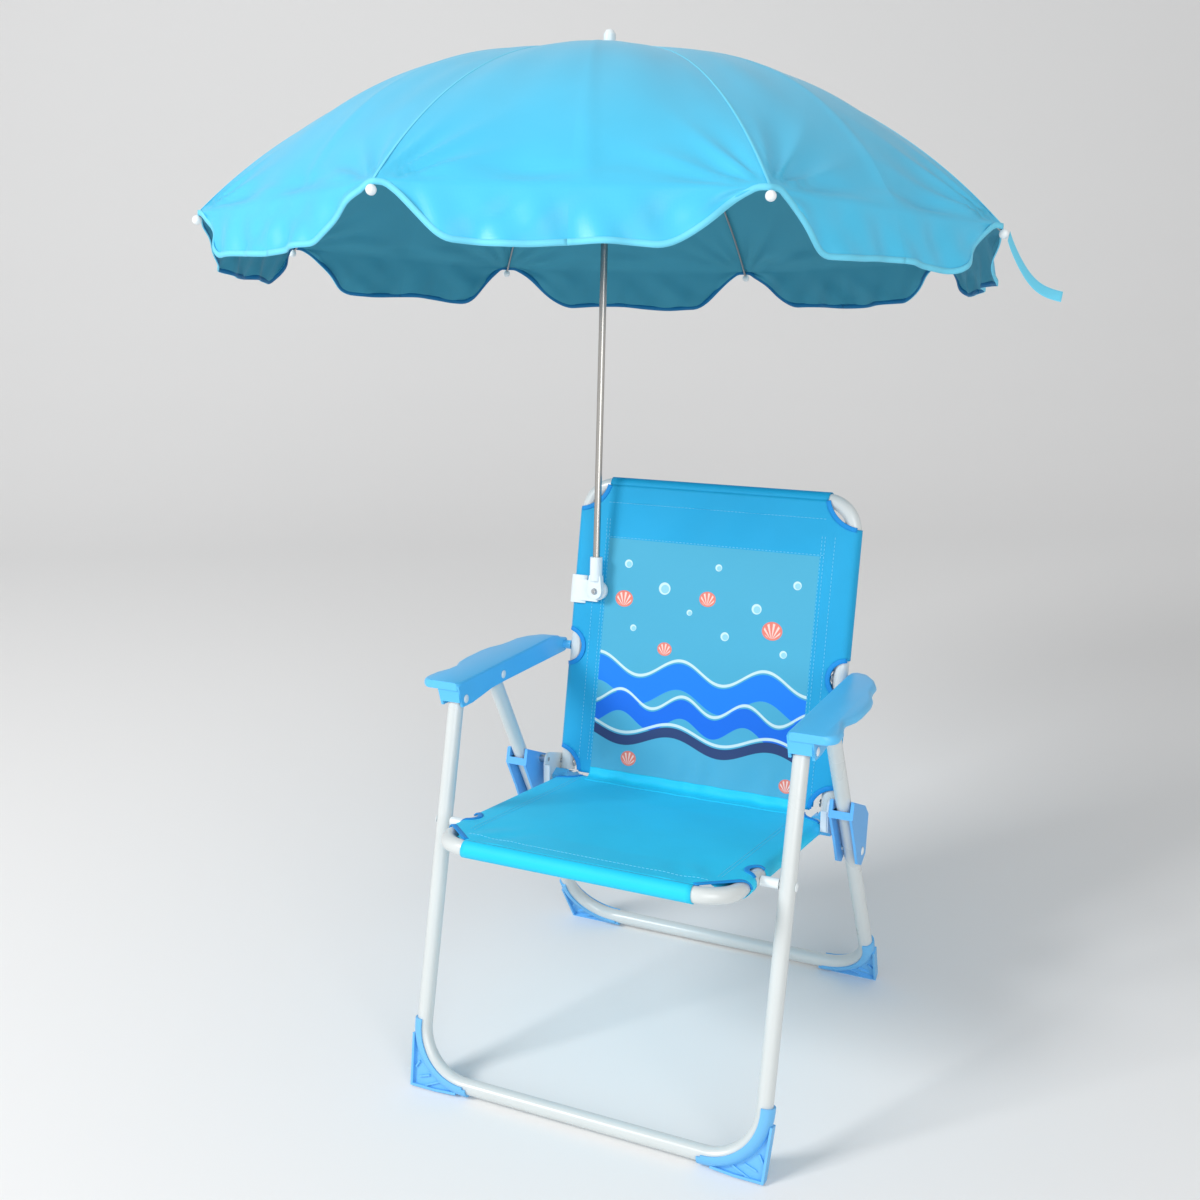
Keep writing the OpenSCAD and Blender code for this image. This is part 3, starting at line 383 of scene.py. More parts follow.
def panel(name, half, place, rows, notches, sag, material, chord=None):
    """A sewn panel with sleeves round both side tubes; notches are (s, radius) at its side edges.
    A chord cuts both front corners off along the line where |u| - s passes it."""
    section = sleeve_path(half)
    edge = half + 9.1
    work = bmesh.new()
    uv = work.loops.layers.uv.new("cloth")
    flat = {}
    grid = []
    for s in rows:
        line = []
        for u, h, a in section:
            un, sn = u, s
            on_sheet = h >= SLEEVE - 0.01 and abs(u) <= half
            for centre, radius in notches:
                du, ds = abs(un) - edge, sn - centre
                reach = math.hypot(du, ds)
                if abs(reach - radius) < 2.6 and reach > 1e-6:
                    if on_sheet:
                        un = math.copysign(edge + du * radius / reach, un)
                        sn = centre + ds * radius / reach
                    elif radius > abs(du):
                        sn = centre + math.copysign(math.sqrt(radius ** 2 - du ** 2), ds)
            if chord and abs(abs(un) - sn - chord) < 3.4:
                if on_sheet:
                    shift = (abs(un) - sn - chord) / 2
                    un = math.copysign(abs(un) - shift, un)
                    sn = sn + shift
                else:
                    sn = abs(un) - chord
            v = work.verts.new(place(un, sn, h + sag(un, sn) * (1 if on_sheet else 0)))
            flat[v] = (a / 1000, sn / 1000)
            v_info = (un, sn)
            line.append((v, v_info))
        grid.append(line)
    for upper, lower in zip(grid, grid[1:]):
        for i in range(len(section) - 1):
            four = [upper[i], upper[i + 1], lower[i + 1], lower[i]]
            cu = sum(p[1][0] for p in four) / 4
            cs = sum(p[1][1] for p in four) / 4
            if any(math.hypot(abs(cu) - edge, cs - c) < r for c, r in notches):
                continue
            if chord and abs(cu) - cs > chord:
                continue
            face = work.faces.new([p[0] for p in four])
            face.smooth = True
            for loop in face.loops:
                loop[uv].uv = flat[loop.vert]
    bmesh.ops.delete(work, geom=[v for v in work.verts if not v.link_faces], context="VERTS")
    bmesh.ops.recalc_face_normals(work, faces=work.faces)
    mesh = bpy.data.meshes.new(name)
    work.to_mesh(mesh)
    work.free()
    mesh.materials.append(material)
    piece = bpy.data.objects.new(name, mesh)
    bpy.context.scene.collection.objects.link(piece)
    wall = piece.modifiers.new("thickness", "SOLIDIFY")
    wall.thickness = 0.0008
    wall.offset = 0.0
    return piece


def tape(name, runs, place_of, width, lift, material, body):
    """Binding tape folded over a cut edge: runs are lists of (u, s, h) places along the edge."""
    work = bmesh.new()
    uv = work.loops.layers.uv.new("cloth")
    for run in runs:
        points = [place_of(*p) for p in run]
        rings = []
        travelled = 0.0
        for i, point in enumerate(points):
            ahead = points[min(i + 1, len(points) - 1)] - points[max(i - 1, 0)]
            ahead.normalize()
            travelled += (points[i] - points[i - 1]).length if i else 0.0
            up_way = (place_of(run[i][0], run[i][1], run[i][2] + 1) - point).normalized()
            side = ahead.cross(up_way).normalized()
            up_way = side.cross(ahead).normalized()
            ring = []
            for x, z in ((-0.5, 0.6), (-0.35, 1.0), (0.35, 1.0), (0.5, 0.6),
                         (0.5, -0.6), (0.35, -1.0), (-0.35, -1.0), (-0.5, -0.6)):
                ring.append(work.verts.new(point + side * (x * width) + up_way * (z * lift)))
            rings.append((ring, travelled))
        for (a, ta), (b, tb) in zip(rings, rings[1:]):
            for j in range(8):
                face = work.faces.new((a[j], a[(j + 1) % 8], b[(j + 1) % 8], b[j]))
                face.smooth = True
                for loop, val in zip(face.loops, ((j, ta), (j + 1, ta), (j + 1, tb), (j, tb))):
                    loop[uv].uv = (val[0] * width / 6, val[1])
        work.faces.new(rings[0][0])
        work.faces.new(list(reversed(rings[-1][0])))
    bmesh.ops.recalc_face_normals(work, faces=work.faces)
    mesh = bpy.data.meshes.new(name)
    work.to_mesh(mesh)
    work.free()
    mesh.materials.append(material)
    piece = bpy.data.objects.new(name, mesh)
    bpy.context.scene.collection.objects.link(piece)
    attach(piece, body)
    return piece


def notch_run(half, centre, radius, side, low, high):
    """Edge of a notch on the sheet and round the tube, as (u, s, h) places."""
    edge = half + 9.1
    run = []
    for step in range(33):
        a = math.radians(low + (high - low) * step / 32)
        u, s = edge - radius * math.cos(a), centre + radius * math.sin(a)
        over = max(0.0, u - half)
        h = SLEEVE if over == 0 else math.sqrt(max(0.0, SLEEVE ** 2 - min(over, SLEEVE) ** 2))
        run.append((side * min(u, half + SLEEVE), s, h + 0.5))
    return run


seat_rows = list(np.linspace(-0.0, 287.0, 83))
seat_notches = [(71.4, 14.0), (292.5, 27.0)]


def seat_sag(u, s):
    """The cloth gives a little between the tubes and puckers towards the cut corners."""
    across, along = max(0.0, 1 - (u / 150.0) ** 2), max(0.0, min(1.0, s / 60.0))
    give = -3.0 * across * along * min(1.0, max(0.2, (300 - s) / 70.0))
    pucker = 0.8 * math.sin(abs(u) * 0.16 + s * 0.09) * math.exp(-((abs(u) - 105) / 30) ** 2
                                                              - ((s - 30) / 34) ** 2)
    crease = 0.6 * math.sin(u * 0.13 + 1.5 * math.sin(u * 0.05)) * math.exp(-((s - 290) / 16) ** 2)
    return (give + pucker + crease) * (1 - math.exp(-((150 - abs(u)) / 14) ** 2))


seat_cloth = cloth_finish("seat_cloth", linear(30, 212, 252))
seat_panel = panel("seat_panel", SEAT_HALF, on_seat, seat_rows, seat_notches, seat_sag, seat_cloth,
                   chord=117.6)
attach(seat_panel, "seat")
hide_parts("sling_seat")

binding_cloth = cloth_finish("binding_tape", linear(12, 146, 224), 2200)
runs = []
for side in (-1, 1):
    runs.append([(side * (117.6 + d), d, SLEEVE + 0.4) for d in np.linspace(1.0, 33.0, 17)]
                + [(side * (150.6 + SLEEVE * math.sin(math.radians(a))),
                    33.0 + SLEEVE * math.sin(math.radians(a)),
                    SLEEVE * math.cos(math.radians(a)) + 0.4) for a in range(10, 91, 10)])
    runs.append(notch_run(150.6, 71.4, 14.6, side, -80, 80))
    runs.append(notch_run(150.6, 292.5, 27.6, side, -84, -12))
tape("seat_binding", runs, on_seat, 0.005, 0.0009, binding_cloth, "seat")

back_rows = list(np.linspace(0.0, 333.0, 96))
back_notches = [(-9.1, 38.0), (188.8, 20.0), (333.0, 27.0)]


def back_sag(u, s):
    """A taut back with soft folds under the top bar and gathers along the crease at the seat."""
    across = max(0.0, 1 - (u / 156.0) ** 2)
    give = -3.5 * across * min(1.0, s / 60.0) * min(1.0, max(0.0, (345 - s) / 60.0))
    folds = 1.1 * math.sin(u * 0.085 + 0.7 * math.sin(u * 0.031)) * math.exp(-((s - 38) / 26) ** 2)
    gather = 1.3 * math.sin(u * 0.17 + 1.2 * math.sin(u * 0.06)) * math.exp(-((s - 318) / 18) ** 2)
    return (give + folds + gather) * (1 - math.exp(-((156 - abs(u)) / 15) ** 2))


def print_finish(name):
    """The back's cloth: plain border hems round a printed sea pattern of bands, dots and shells."""
    material = cloth_finish(name, linear(24, 168, 220))
    nodes, links = material.node_tree.nodes, material.node_tree.links
    shader = nodes["Principled BSDF"]
    border = next(n for n in nodes if n.bl_idname == "ShaderNodeValToRGB")
    uv = next(n for n in nodes if n.bl_idname == "ShaderNodeUVMap")
    split = nodes.new("ShaderNodeSeparateXYZ")
    links.new(uv.outputs["UV"], split.inputs[0])

    def math_node(kind, a, b=None, c=None):
        node = nodes.new("ShaderNodeMath")
        node.operation = kind
        for socket, value in zip(node.inputs, (a, b, c)):
            if value is None:
                continue
            if isinstance(value, (int, float)):
                socket.default_value = value
            else:
                links.new(value, socket)
        return node.outputs[0]

    def paint(base, colour, mask):
        node = nodes.new("ShaderNodeMix")
        node.data_type = "RGBA"
        links.new(mask, node.inputs[0])
        links.new(base, node.inputs[6])
        node.inputs[7].default_value = colour
        return node.outputs[2]

    u, v = split.outputs["X"], split.outputs["Y"]

    def between(value, low, high, soft=0.0006):
        a = math_node("DIVIDE", math_node("SUBTRACT", value, low), soft)
        b = math_node("DIVIDE", math_node("SUBTRACT", high, value), soft)
        node = nodes.new("ShaderNodeClamp")
        links.new(math_node("MINIMUM", a, b), node.inputs["Value"])
        return node.outputs["Result"]

    inside = math_node("MULTIPLY", between(u, -0.124, 0.124), between(v, 0.060, 0.329))
    field = nodes.new("ShaderNodeMix")
    field.data_type = "RGBA"
    links.new(inside, field.inputs[0])
    links.new(border.outputs["Color"], field.inputs[6])
    field.inputs[7].default_value = linear(74, 172, 205)
    colour = field.outputs[2]

    # Three rolling wave bands across the lower half
    for height, swell, length, tint, depth in ((0.205, 0.011, 0.100, linear(10, 128, 240), 0.030),
                                               (0.243, 0.009, 0.075, linear(0, 110, 226), 0.022),
                                               (0.275, 0.008, 0.118, linear(36, 62, 110), 0.012)):
        line = math_node("MULTIPLY", math_node("SINE", math_node("MULTIPLY", u, 6.2832 / length)), swell)
        level = math_node("SUBTRACT", v, line)
        band = math_node("MULTIPLY", between(level, height, height + depth), inside)
        colour = paint(colour, tint, band)
        crest = math_node("MULTIPLY", between(level, height - 0.005, height - 0.0012), inside)
        colour = paint(colour, linear(206, 232, 234), crest)

    def disc(cu, cv, radius, squeeze=1.0):
        du = math_node("SUBTRACT", u, cu)
        dv = math_node("MULTIPLY", math_node("SUBTRACT", v, cv), squeeze)
        far = math_node("SQRT", math_node("ADD", math_node("MULTIPLY", du, du),
                                          math_node("MULTIPLY", dv, dv)))
        return between(far, -1.0, radius)

    # Bubbles in three sizes, each with a paler rim
    for cu, cv, radius in ((-0.098, 0.088, 0.0050), (-0.052, 0.112, 0.0072), (0.010, 0.083, 0.0042),
                           (0.058, 0.124, 0.0060), (0.102, 0.094, 0.0050), (-0.086, 0.160, 0.0040),
                           (0.024, 0.158, 0.0052), (0.093, 0.170, 0.0045), (-0.020, 0.136, 0.0036)):
        colour = paint(colour, linear(206, 236, 240), disc(cu, cv, radius))
        colour = paint(colour, linear(150, 212, 228), disc(cu + 0.0006, cv + 0.0006, radius * 0.72))

    # Scallop shells: coral fans with pale ribs
    for cu, cv, size in ((-0.100, 0.128, 0.011), (0.078, 0.146, 0.012), (0.000, 0.119, 0.010),
                         (-0.046, 0.180, 0.009), (0.110, 0.312, 0.009), (-0.078, 0.309, 0.010)):
        fan = disc(cu, cv, size, 1.15)
        colour = paint(colour, linear(236, 128, 112), fan)
        angle = math_node("ARCTAN2", math_node("SUBTRACT", u, cu),
                          math_node("SUBTRACT", cv + size * 0.85, v))
        ribs = math_node("GREATER_THAN", math_node("SINE", math_node("MULTIPLY", angle, 17.0)), 0.25)
        rib_area = math_node("MULTIPLY", ribs, disc(cu, cv, size * 0.82, 1.15))
        colour = paint(colour, linear(248, 214, 204), rib_area)
    links.new(colour, shader.inputs["Base Color"])
    return material


back_cloth = print_finish("back_cloth")
back_panel = panel("back_panel", BACK_HALF, on_back, back_rows, back_notches, back_sag, back_cloth)

# Only the front is printed: the rear side keeps the plain coated cloth
back_plain = cloth_finish("back_plain", linear(24, 168, 220))
back_panel.data.materials.append(back_plain)
back_panel.modifiers["thickness"].material_offset = 1
forward = on_back(0, 160, 1) - on_back(0, 160, 0)
middle = min(back_panel.data.polygons, key=lambda p: (p.center - on_back(0, 160, 8)).length)
if middle.normal.dot(forward) < 0:
    back_panel.data.flip_normals()
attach(back_panel, "back")
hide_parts("sling_back")
runs = []
for side in (-1, 1):
    runs.append(notch_run(156.4, -9.1, 38.6, side, 14, 84))
    runs.append(notch_run(156.4, 188.8, 20.6, side, -84, 84))
    runs.append(notch_run(156.4, 333.0, 27.6, side, -84, -4))
tape("back_binding", runs, on_back, 0.005, 0.0009, binding_cloth, "back")


def bar_sleeve(name, half, place, material, body):
    """The sleeve that the panel's end makes round a cross bar, closed by a hem behind it."""
    angles = list(range(90, 331, 15))
    ring = [(SLEEVE * math.cos(math.radians(a)), SLEEVE * math.sin(math.radians(a))) for a in angles]
    ring += [(12.5, 2.4), (17.0, 6.9), (20.0, 7.7)]
    work = bmesh.new()
    uv = work.loops.layers.uv.new("cloth")
    columns = []
    for u in np.linspace(-half, half, 41):
        line = []
        for s, h in ring:
            spread = (h + 8.7) / 17.4
            tucked = u * (1 + 0.012 * (1 - spread))
            line.append(work.verts.new(place(tucked, s, h)))
        columns.append((u, line))
    for (u0, a), (u1, b) in zip(columns, columns[1:]):
        for j in range(len(ring) - 1):
            face = work.faces.new((a[j], b[j], b[j + 1], a[j + 1]))
            face.smooth = True
            for loop, val in zip(face.loops, ((u0, j), (u1, j), (u1, j + 1), (u0, j + 1))):
                loop[uv].uv = (val[0] / 1000, -val[1] * 0.0023)
    bmesh.ops.recalc_face_normals(work, faces=work.faces)
    mesh = bpy.data.meshes.new(name)
    work.to_mesh(mesh)
    work.free()
    mesh.materials.append(material)
    piece = bpy.data.objects.new(name, mesh)
    bpy.context.scene.collection.objects.link(piece)
    wall = piece.modifiers.new("thickness", "SOLIDIFY")
    wall.thickness = 0.0008
    wall.offset = 0.0
    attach(piece, body)
    return piece


seat_front = bar_sleeve("seat_front_sleeve", 118.5, on_seat, seat_cloth, "seat")
back_top = bar_sleeve("back_top_sleeve", 128.0, on_back, back_cloth, "back")


# The crease where the back's cloth runs over into the seat's, gathered a little along its length.
work = bmesh.new()
uv = work.loops.layers.uv.new("cloth")
columns = []
for u in np.linspace(-124, 124, 125):
    gather = 0.5 * math.sin(u * 0.21 + 1.4 * math.sin(u * 0.05))
    a = on_seat(u, 274, 9.3 + seat_sag(u, 274))
    b = on_seat(u, 288, 9.4 + seat_sag(u, 288) + gather)
    c = on_back(u, 334, 9.8 + back_sag(u, 326) + gather)
    d = on_back(u, 325, 9.4 + back_sag(u, 325))
    line = []
    for i in range(15):
        t = i / 14
        spot = a * (1 - t) ** 3 + b * (3 * t * (1 - t) ** 2) + c * (3 * t * t * (1 - t)) + d * t ** 3
        line.append((work.verts.new(spot), (u / 1000, -0.02 + 0.04 * t)))
    columns.append(line)
for left, right_line in zip(columns, columns[1:]):
    for i in range(14):
        four = (left[i], right_line[i], right_line[i + 1], left[i + 1])
        face = work.faces.new([p[0] for p in four])
        face.smooth = True
        for loop, p in zip(face.loops, four):
            loop[uv].uv = p[1]
bmesh.ops.recalc_face_normals(work, faces=work.faces)
mesh = bpy.data.meshes.new("crease_strip")
work.to_mesh(mesh)
work.free()
mesh.materials.append(seat_cloth)
crease_strip = bpy.data.objects.new("crease_strip", mesh)
bpy.context.scene.collection.objects.link(crease_strip)
wall = crease_strip.modifiers.new("thickness", "SOLIDIFY")
wall.thickness = 0.0006
wall.offset = 0.0
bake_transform(crease_strip)


# Stitch rows: lock stitches set out along each seam by one node tree.
stitch_tree = bpy.data.node_groups.new("stitch_row", "GeometryNodeTree")
face_in = stitch_tree.interface
face_in.new_socket("Seam", in_out="INPUT", socket_type="NodeSocketGeometry")
pitch_in = face_in.new_socket("Pitch", in_out="INPUT", socket_type="NodeSocketFloat")
long_in = face_in.new_socket("Stitch Length", in_out="INPUT", socket_type="NodeSocketFloat")
thick_in = face_in.new_socket("Thread", in_out="INPUT", socket_type="NodeSocketFloat")
thread_in = face_in.new_socket("Material", in_out="INPUT", socket_type="NodeSocketMaterial")
face_in.new_socket("Stitches", in_out="OUTPUT", socket_type="NodeSocketGeometry")
nodes, links = stitch_tree.nodes, stitch_tree.links
entry, leave = nodes.new("NodeGroupInput"), nodes.new("NodeGroupOutput")
to_curve = nodes.new("GeometryNodeMeshToCurve")
spaced = nodes.new("GeometryNodeCurveToPoints")
spaced.mode = "LENGTH"
bead = nodes.new("GeometryNodeMeshUVSphere")
bead.inputs["Segments"].default_value = 6
bead.inputs["Rings"].default_value = 4
bead.inputs["Radius"].default_value = 0.5
size = nodes.new("ShaderNodeCombineXYZ")
put = nodes.new("GeometryNodeInstanceOnPoints")
real = nodes.new("GeometryNodeRealizeInstances")
paint_it = nodes.new("GeometryNodeSetMaterial")
links.new(entry.outputs["Seam"], to_curve.inputs["Mesh"])
links.new(to_curve.outputs["Curve"], spaced.inputs["Curve"])
links.new(entry.outputs["Pitch"], spaced.inputs["Length"])
links.new(spaced.outputs["Points"], put.inputs["Points"])
links.new(spaced.outputs["Rotation"], put.inputs["Rotation"])
links.new(bead.outputs["Mesh"], put.inputs["Instance"])
links.new(entry.outputs["Thread"], size.inputs["X"])
links.new(entry.outputs["Thread"], size.inputs["Y"])
links.new(entry.outputs["Stitch Length"], size.inputs["Z"])
links.new(size.outputs["Vector"], put.inputs["Scale"])
links.new(put.outputs["Instances"], real.inputs["Geometry"])
links.new(real.outputs["Geometry"], paint_it.inputs["Geometry"])
links.new(entry.outputs["Material"], paint_it.inputs["Material"])
links.new(paint_it.outputs["Geometry"], leave.inputs["Stitches"])


def stitch_rows(name, seams, thread, body, pitch=0.0042):
    """One piece of stitching that follows all the given seams, each a list of points."""
    mesh = bpy.data.meshes.new(name + "_seams")
    points, edges = [], []
    for seam in seams:
        edges += [(len(points) + i, len(points) + i + 1) for i in range(len(seam) - 1)]
        points += [tuple(p) for p in seam]
    mesh.from_pydata(points, edges, [])
    guide = bpy.data.objects.new(name + "_seams", mesh)
    bpy.context.scene.collection.objects.link(guide)
    modifier = guide.modifiers.new("stitches", "NODES")
    modifier.node_group = stitch_tree
    modifier[pitch_in.identifier] = pitch
    modifier[long_in.identifier] = 0.0030
    modifier[thick_in.identifier] = 0.0007
    modifier[thread_in.identifier] = thread
    ready = guide.evaluated_get(bpy.context.evaluated_depsgraph_get())
    made = bpy.data.meshes.new_from_object(ready)
    made.name = name
    guide.modifiers.clear()
    bpy.data.objects.remove(guide)
    piece = bpy.data.objects.new(name, made)
    bpy.context.scene.collection.objects.link(piece)
    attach(piece, body)
    return piece


thread = finish_for("pale_thread", linear(120, 214, 242), 0.6, 2500, 0.00005, 0.1)
seams = []
for side in (-1, 1):
    for u in (133.0, 129.0):
        seams.append([on_seat(side * u, s, 9.3 + seat_sag(side * u, s)) for s in range(36, 283, 6)])
for s in (19.0,):
    seams.append([on_seat(u, s, 9.3 + seat_sag(u, s)) for u in range(-124, 125, 4)])
stitch_rows("seat_stitching", seams, thread, "seat")
seams = []
for side in (-1, 1):
    for u in (139.0, 124.5, 128.0):
        seams.append([on_back(side * u, s, 9.3 + back_sag(side * u, s)) for s in range(40, 321, 6)])
for s in (20.0, 59.0):
    seams.append([on_back(u, s, 9.3 + back_sag(u, s)) for u in range(-126, 127, 4)])
stitch_rows("back_stitching", seams, thread, "back")

# Parasol clamp
# White moulded clamp ring and pole socket, held by a steel screw and nut.
clamp_plastic = finish_for("clamp_plastic", linear(232, 240, 243), 0.38, 800, 0.00008, 0.05)
for moulded in ("umbrella_clamp", "pole_socket"):
    refined(moulded, clamp_plastic, edge=0.0006)

# Pole and hubs
# Bright steel tube with a moulded crown, runner and a white cap on top.
pole_steel = finish_for("pole_steel", linear(176, 174, 170), 0.24, 1400, 0.00004, 0.1, metal=1.0)
dress(pole_steel, "pole")
for hub in ("ferrule", "crown", "runner"):
    refined(hub, clamp_plastic, edge=0.0003)

# Ribs and stretchers
# Spring steel wire ribs with a stretcher each, and a white ball on every rib's tip.
wire = finish_for("wire_steel", linear(170, 172, 174), 0.3, 1400, 0.00004, 0.1, metal=1.0)
ball_plastic = finish_for("tip_plastic", linear(238, 244, 246), 0.34, 900, 0.00005, 0.03)
POLE_BACK, POLE_LEFT = math.radians(8.5), math.radians(1.0)
pole_up = Vector((-math.cos(POLE_BACK) * math.sin(POLE_LEFT), math.sin(POLE_BACK),
                  math.cos(POLE_BACK) * math.cos(POLE_LEFT)))
rim_u = Vector((math.cos(POLE_LEFT), 0, math.sin(POLE_LEFT)))
rim_v = pole_up.cross(rim_u)
pole_foot = chair(-131, 335, 460)
DOME, DOME_TOP, RIB_R, RIM = 586.0, 570.0, 582.0, 432.0
CLOTH_END = math.asin(RIM / RIB_R) - math.radians(0.65)
TIP_S = DOME_TOP - DOME + RIB_R * math.cos(math.asin(RIM / RIB_R))


def under_dome(radius, angle, s):
    """A place by its distance from the pole, its turn round the pole and its height on it."""
    around = rim_u * math.cos(angle) + rim_v * math.sin(angle)
    return pole_foot + pole_up * (s / 1000) + around * (radius / 1000)


for k in range(1, 9):
    dress(wire, "rib_%d" % k, "stretcher_%d" % k)
    turn_k = math.radians(223.5 + 45 * (k - 1))
    centre = under_dome(RIM, turn_k, TIP_S)
    work = bmesh.new()
    bmesh.ops.create_uvsphere(work, u_segments=24, v_segments=16, radius=0.0047)
    for vert in work.verts:
        vert.co = vert.co + centre
    for a_face in work.faces:
        a_face.smooth = True
    mesh = bpy.data.meshes.new("tip_ball_%d" % k)
    work.to_mesh(mesh)
    work.free()
    mesh.materials.append(ball_plastic)
    ball = bpy.data.objects.new("tip_ball_%d" % k, mesh)
    bpy.context.scene.collection.objects.link(ball)
    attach(ball, "parasol_rib_%d" % k)

# Canopy
# Thin coated polyester, eight gores sewn together and stretched by the ribs.
# The hem hangs below the tips in scallops and is bound with a pale tape.
canopy_cloth = cloth_finish("canopy_cloth", linear(76, 196, 236), 1800, 0.34, 0.07)
# The gores' underside is painted shade: a darker, duller copy of the same canopy cloth stands in for the
# shaded inside of the thin cloth.
canopy_inside_painted_shade = cloth_finish("canopy_inside_painted_shade", linear(66, 158, 184), 1800, 0.7, 0.07)
hem_tape = cloth_finish("hem_tape", linear(112, 212, 242), 2200, 0.6, 0.05)
# The hem tape's inner side is painted shade: a deeper blue copy of the same tape, for the side that faces
# into the canopy's shade.
hem_inside_painted_shade = cloth_finish("hem_inside_painted_shade", linear(18, 122, 176), 2200, 0.6, 0.05)
VALANCE = 48.0
PUFF = 0.9
GORE_BULGE = 5.0
TIP_CREASE = 4.0
COLUMNS = [math.radians(a) for a in np.linspace(-22.5, 22.5, 83)]
dome_centre = pole_foot + pole_up * ((DOME_TOP - DOME) / 1000)


def ease(t):
    return 0.0 if t <= 0 else 1.0 if t >= 1 else t * t * (3 - 2 * t)


MID = math.radians(22.5)


def gore_side(a, k):
    """Which gore a place lies on, its place across that gore from the middle, and that gore's own seed."""
    gore = k if a >= 0 else (k - 2) % 8 + 1
    return (a - MID if a >= 0 else a + MID), 1.7 * gore


def gore_place(t, a, k):
    """A place on the taut cloth: t from the crown to the rim, a from rib k towards mid-gore."""
    polar = CLOTH_END * t
    b, seed = gore_side(a, k)
    flat_share = math.cos(MID) / math.cos(b)
    puff = 1 - (1 - flat_share) * (1 - PUFF * math.sin(math.pi * min(1.0, t * 1.04)) ** 0.8)
    radius = DOME * math.sin(polar) * puff
    height = DOME_TOP - DOME + (DOME - 0.3) * math.cos(polar)
    spot = under_dome(radius, math.radians(178.5 + 45 * k) + a, height)

    # Creases that fan out from both tips of the gore, a slack fold above the rim, and soft long folds
    along = DOME * (CLOTH_END - polar)
    lift = 0.0
    for side in (-1, 1):
        across = (MID - side * b) * radius
        reach, fan = math.hypot(along, across), math.atan2(across, along + 1e-6)
        turn = seed + 2.1 * side
        fade = math.exp(-(reach / (92 + 26 * math.sin(3 * turn))) ** 2)
        size = TIP_CREASE * (1 - math.exp(-(reach / 18) ** 2)) * fade
        fold = math.sin((fan * (12 + 2 * math.sin(turn)) + turn + 0.016 * reach) / 2)
        lift += size * (1 - 1.9 * math.sqrt(fold * fold + 0.015)) * ease(fan * 2.2)
    calm = ease((MID - abs(b)) * 9)
    lift += GORE_BULGE * math.sin(math.pi * t ** 0.95) ** 2 * math.cos(b / MID * math.pi / 2)
    lift += 2.4 * math.exp(-((along - 14) / 10) ** 2) * calm * math.sin(b * 19 + seed * 1.7)
    lift += 1.2 * calm * t * math.sin(b * 27 + 5 * t + seed) * math.sin(7 * t + 2 * seed)
    lift += 1.0 * calm * ease(t * 1.6) * math.exp(-((b - 0.05 * math.sin(seed) - 0.05 * t) / 0.022) ** 2)
    return spot + (spot - dome_centre).normalized() * (lift * ease((1 - t) * 40) / 1000)


def hem_place(t, a, k):
    """A place on the hanging hem: t from the rim fold down to the bound edge."""
    polar = CLOTH_END
    b, seed = gore_side(a, k)
    flat_share = math.cos(MID) / math.cos(b)
    off = abs(a)
    wide = math.radians(9.5 if a > 0 else 12.5)
    drop = (VALANCE * ease(off / wide) + 2.0 * math.sin(b * 17 + seed)) * t * ease(off * 24) + 0.3 * t
    radius = DOME * math.sin(polar) * flat_share * (1 + 0.026 * t * ease(off / math.radians(12)))
    loose = ease(off / math.radians(5)) * t
    ripple = loose * (3.0 * math.sin(b * 34 + seed + 1.6 * t) + 1.7 * math.sin(b * 61 - 3.4 * t + 2 * seed))
    pucker = 1.5 * math.sin(math.pi * t) * math.sin(b * 41 + 6 * t + 2 * seed) * ease(off / math.radians(4))
    pucker *= 0.55 + 0.45 * math.sin(b * 15 + seed)
    return under_dome(radius + ripple + pucker, math.radians(178.5 + 45 * k) + a,
                      DOME_TOP - DOME + (DOME - 0.3) * math.cos(polar) - drop)


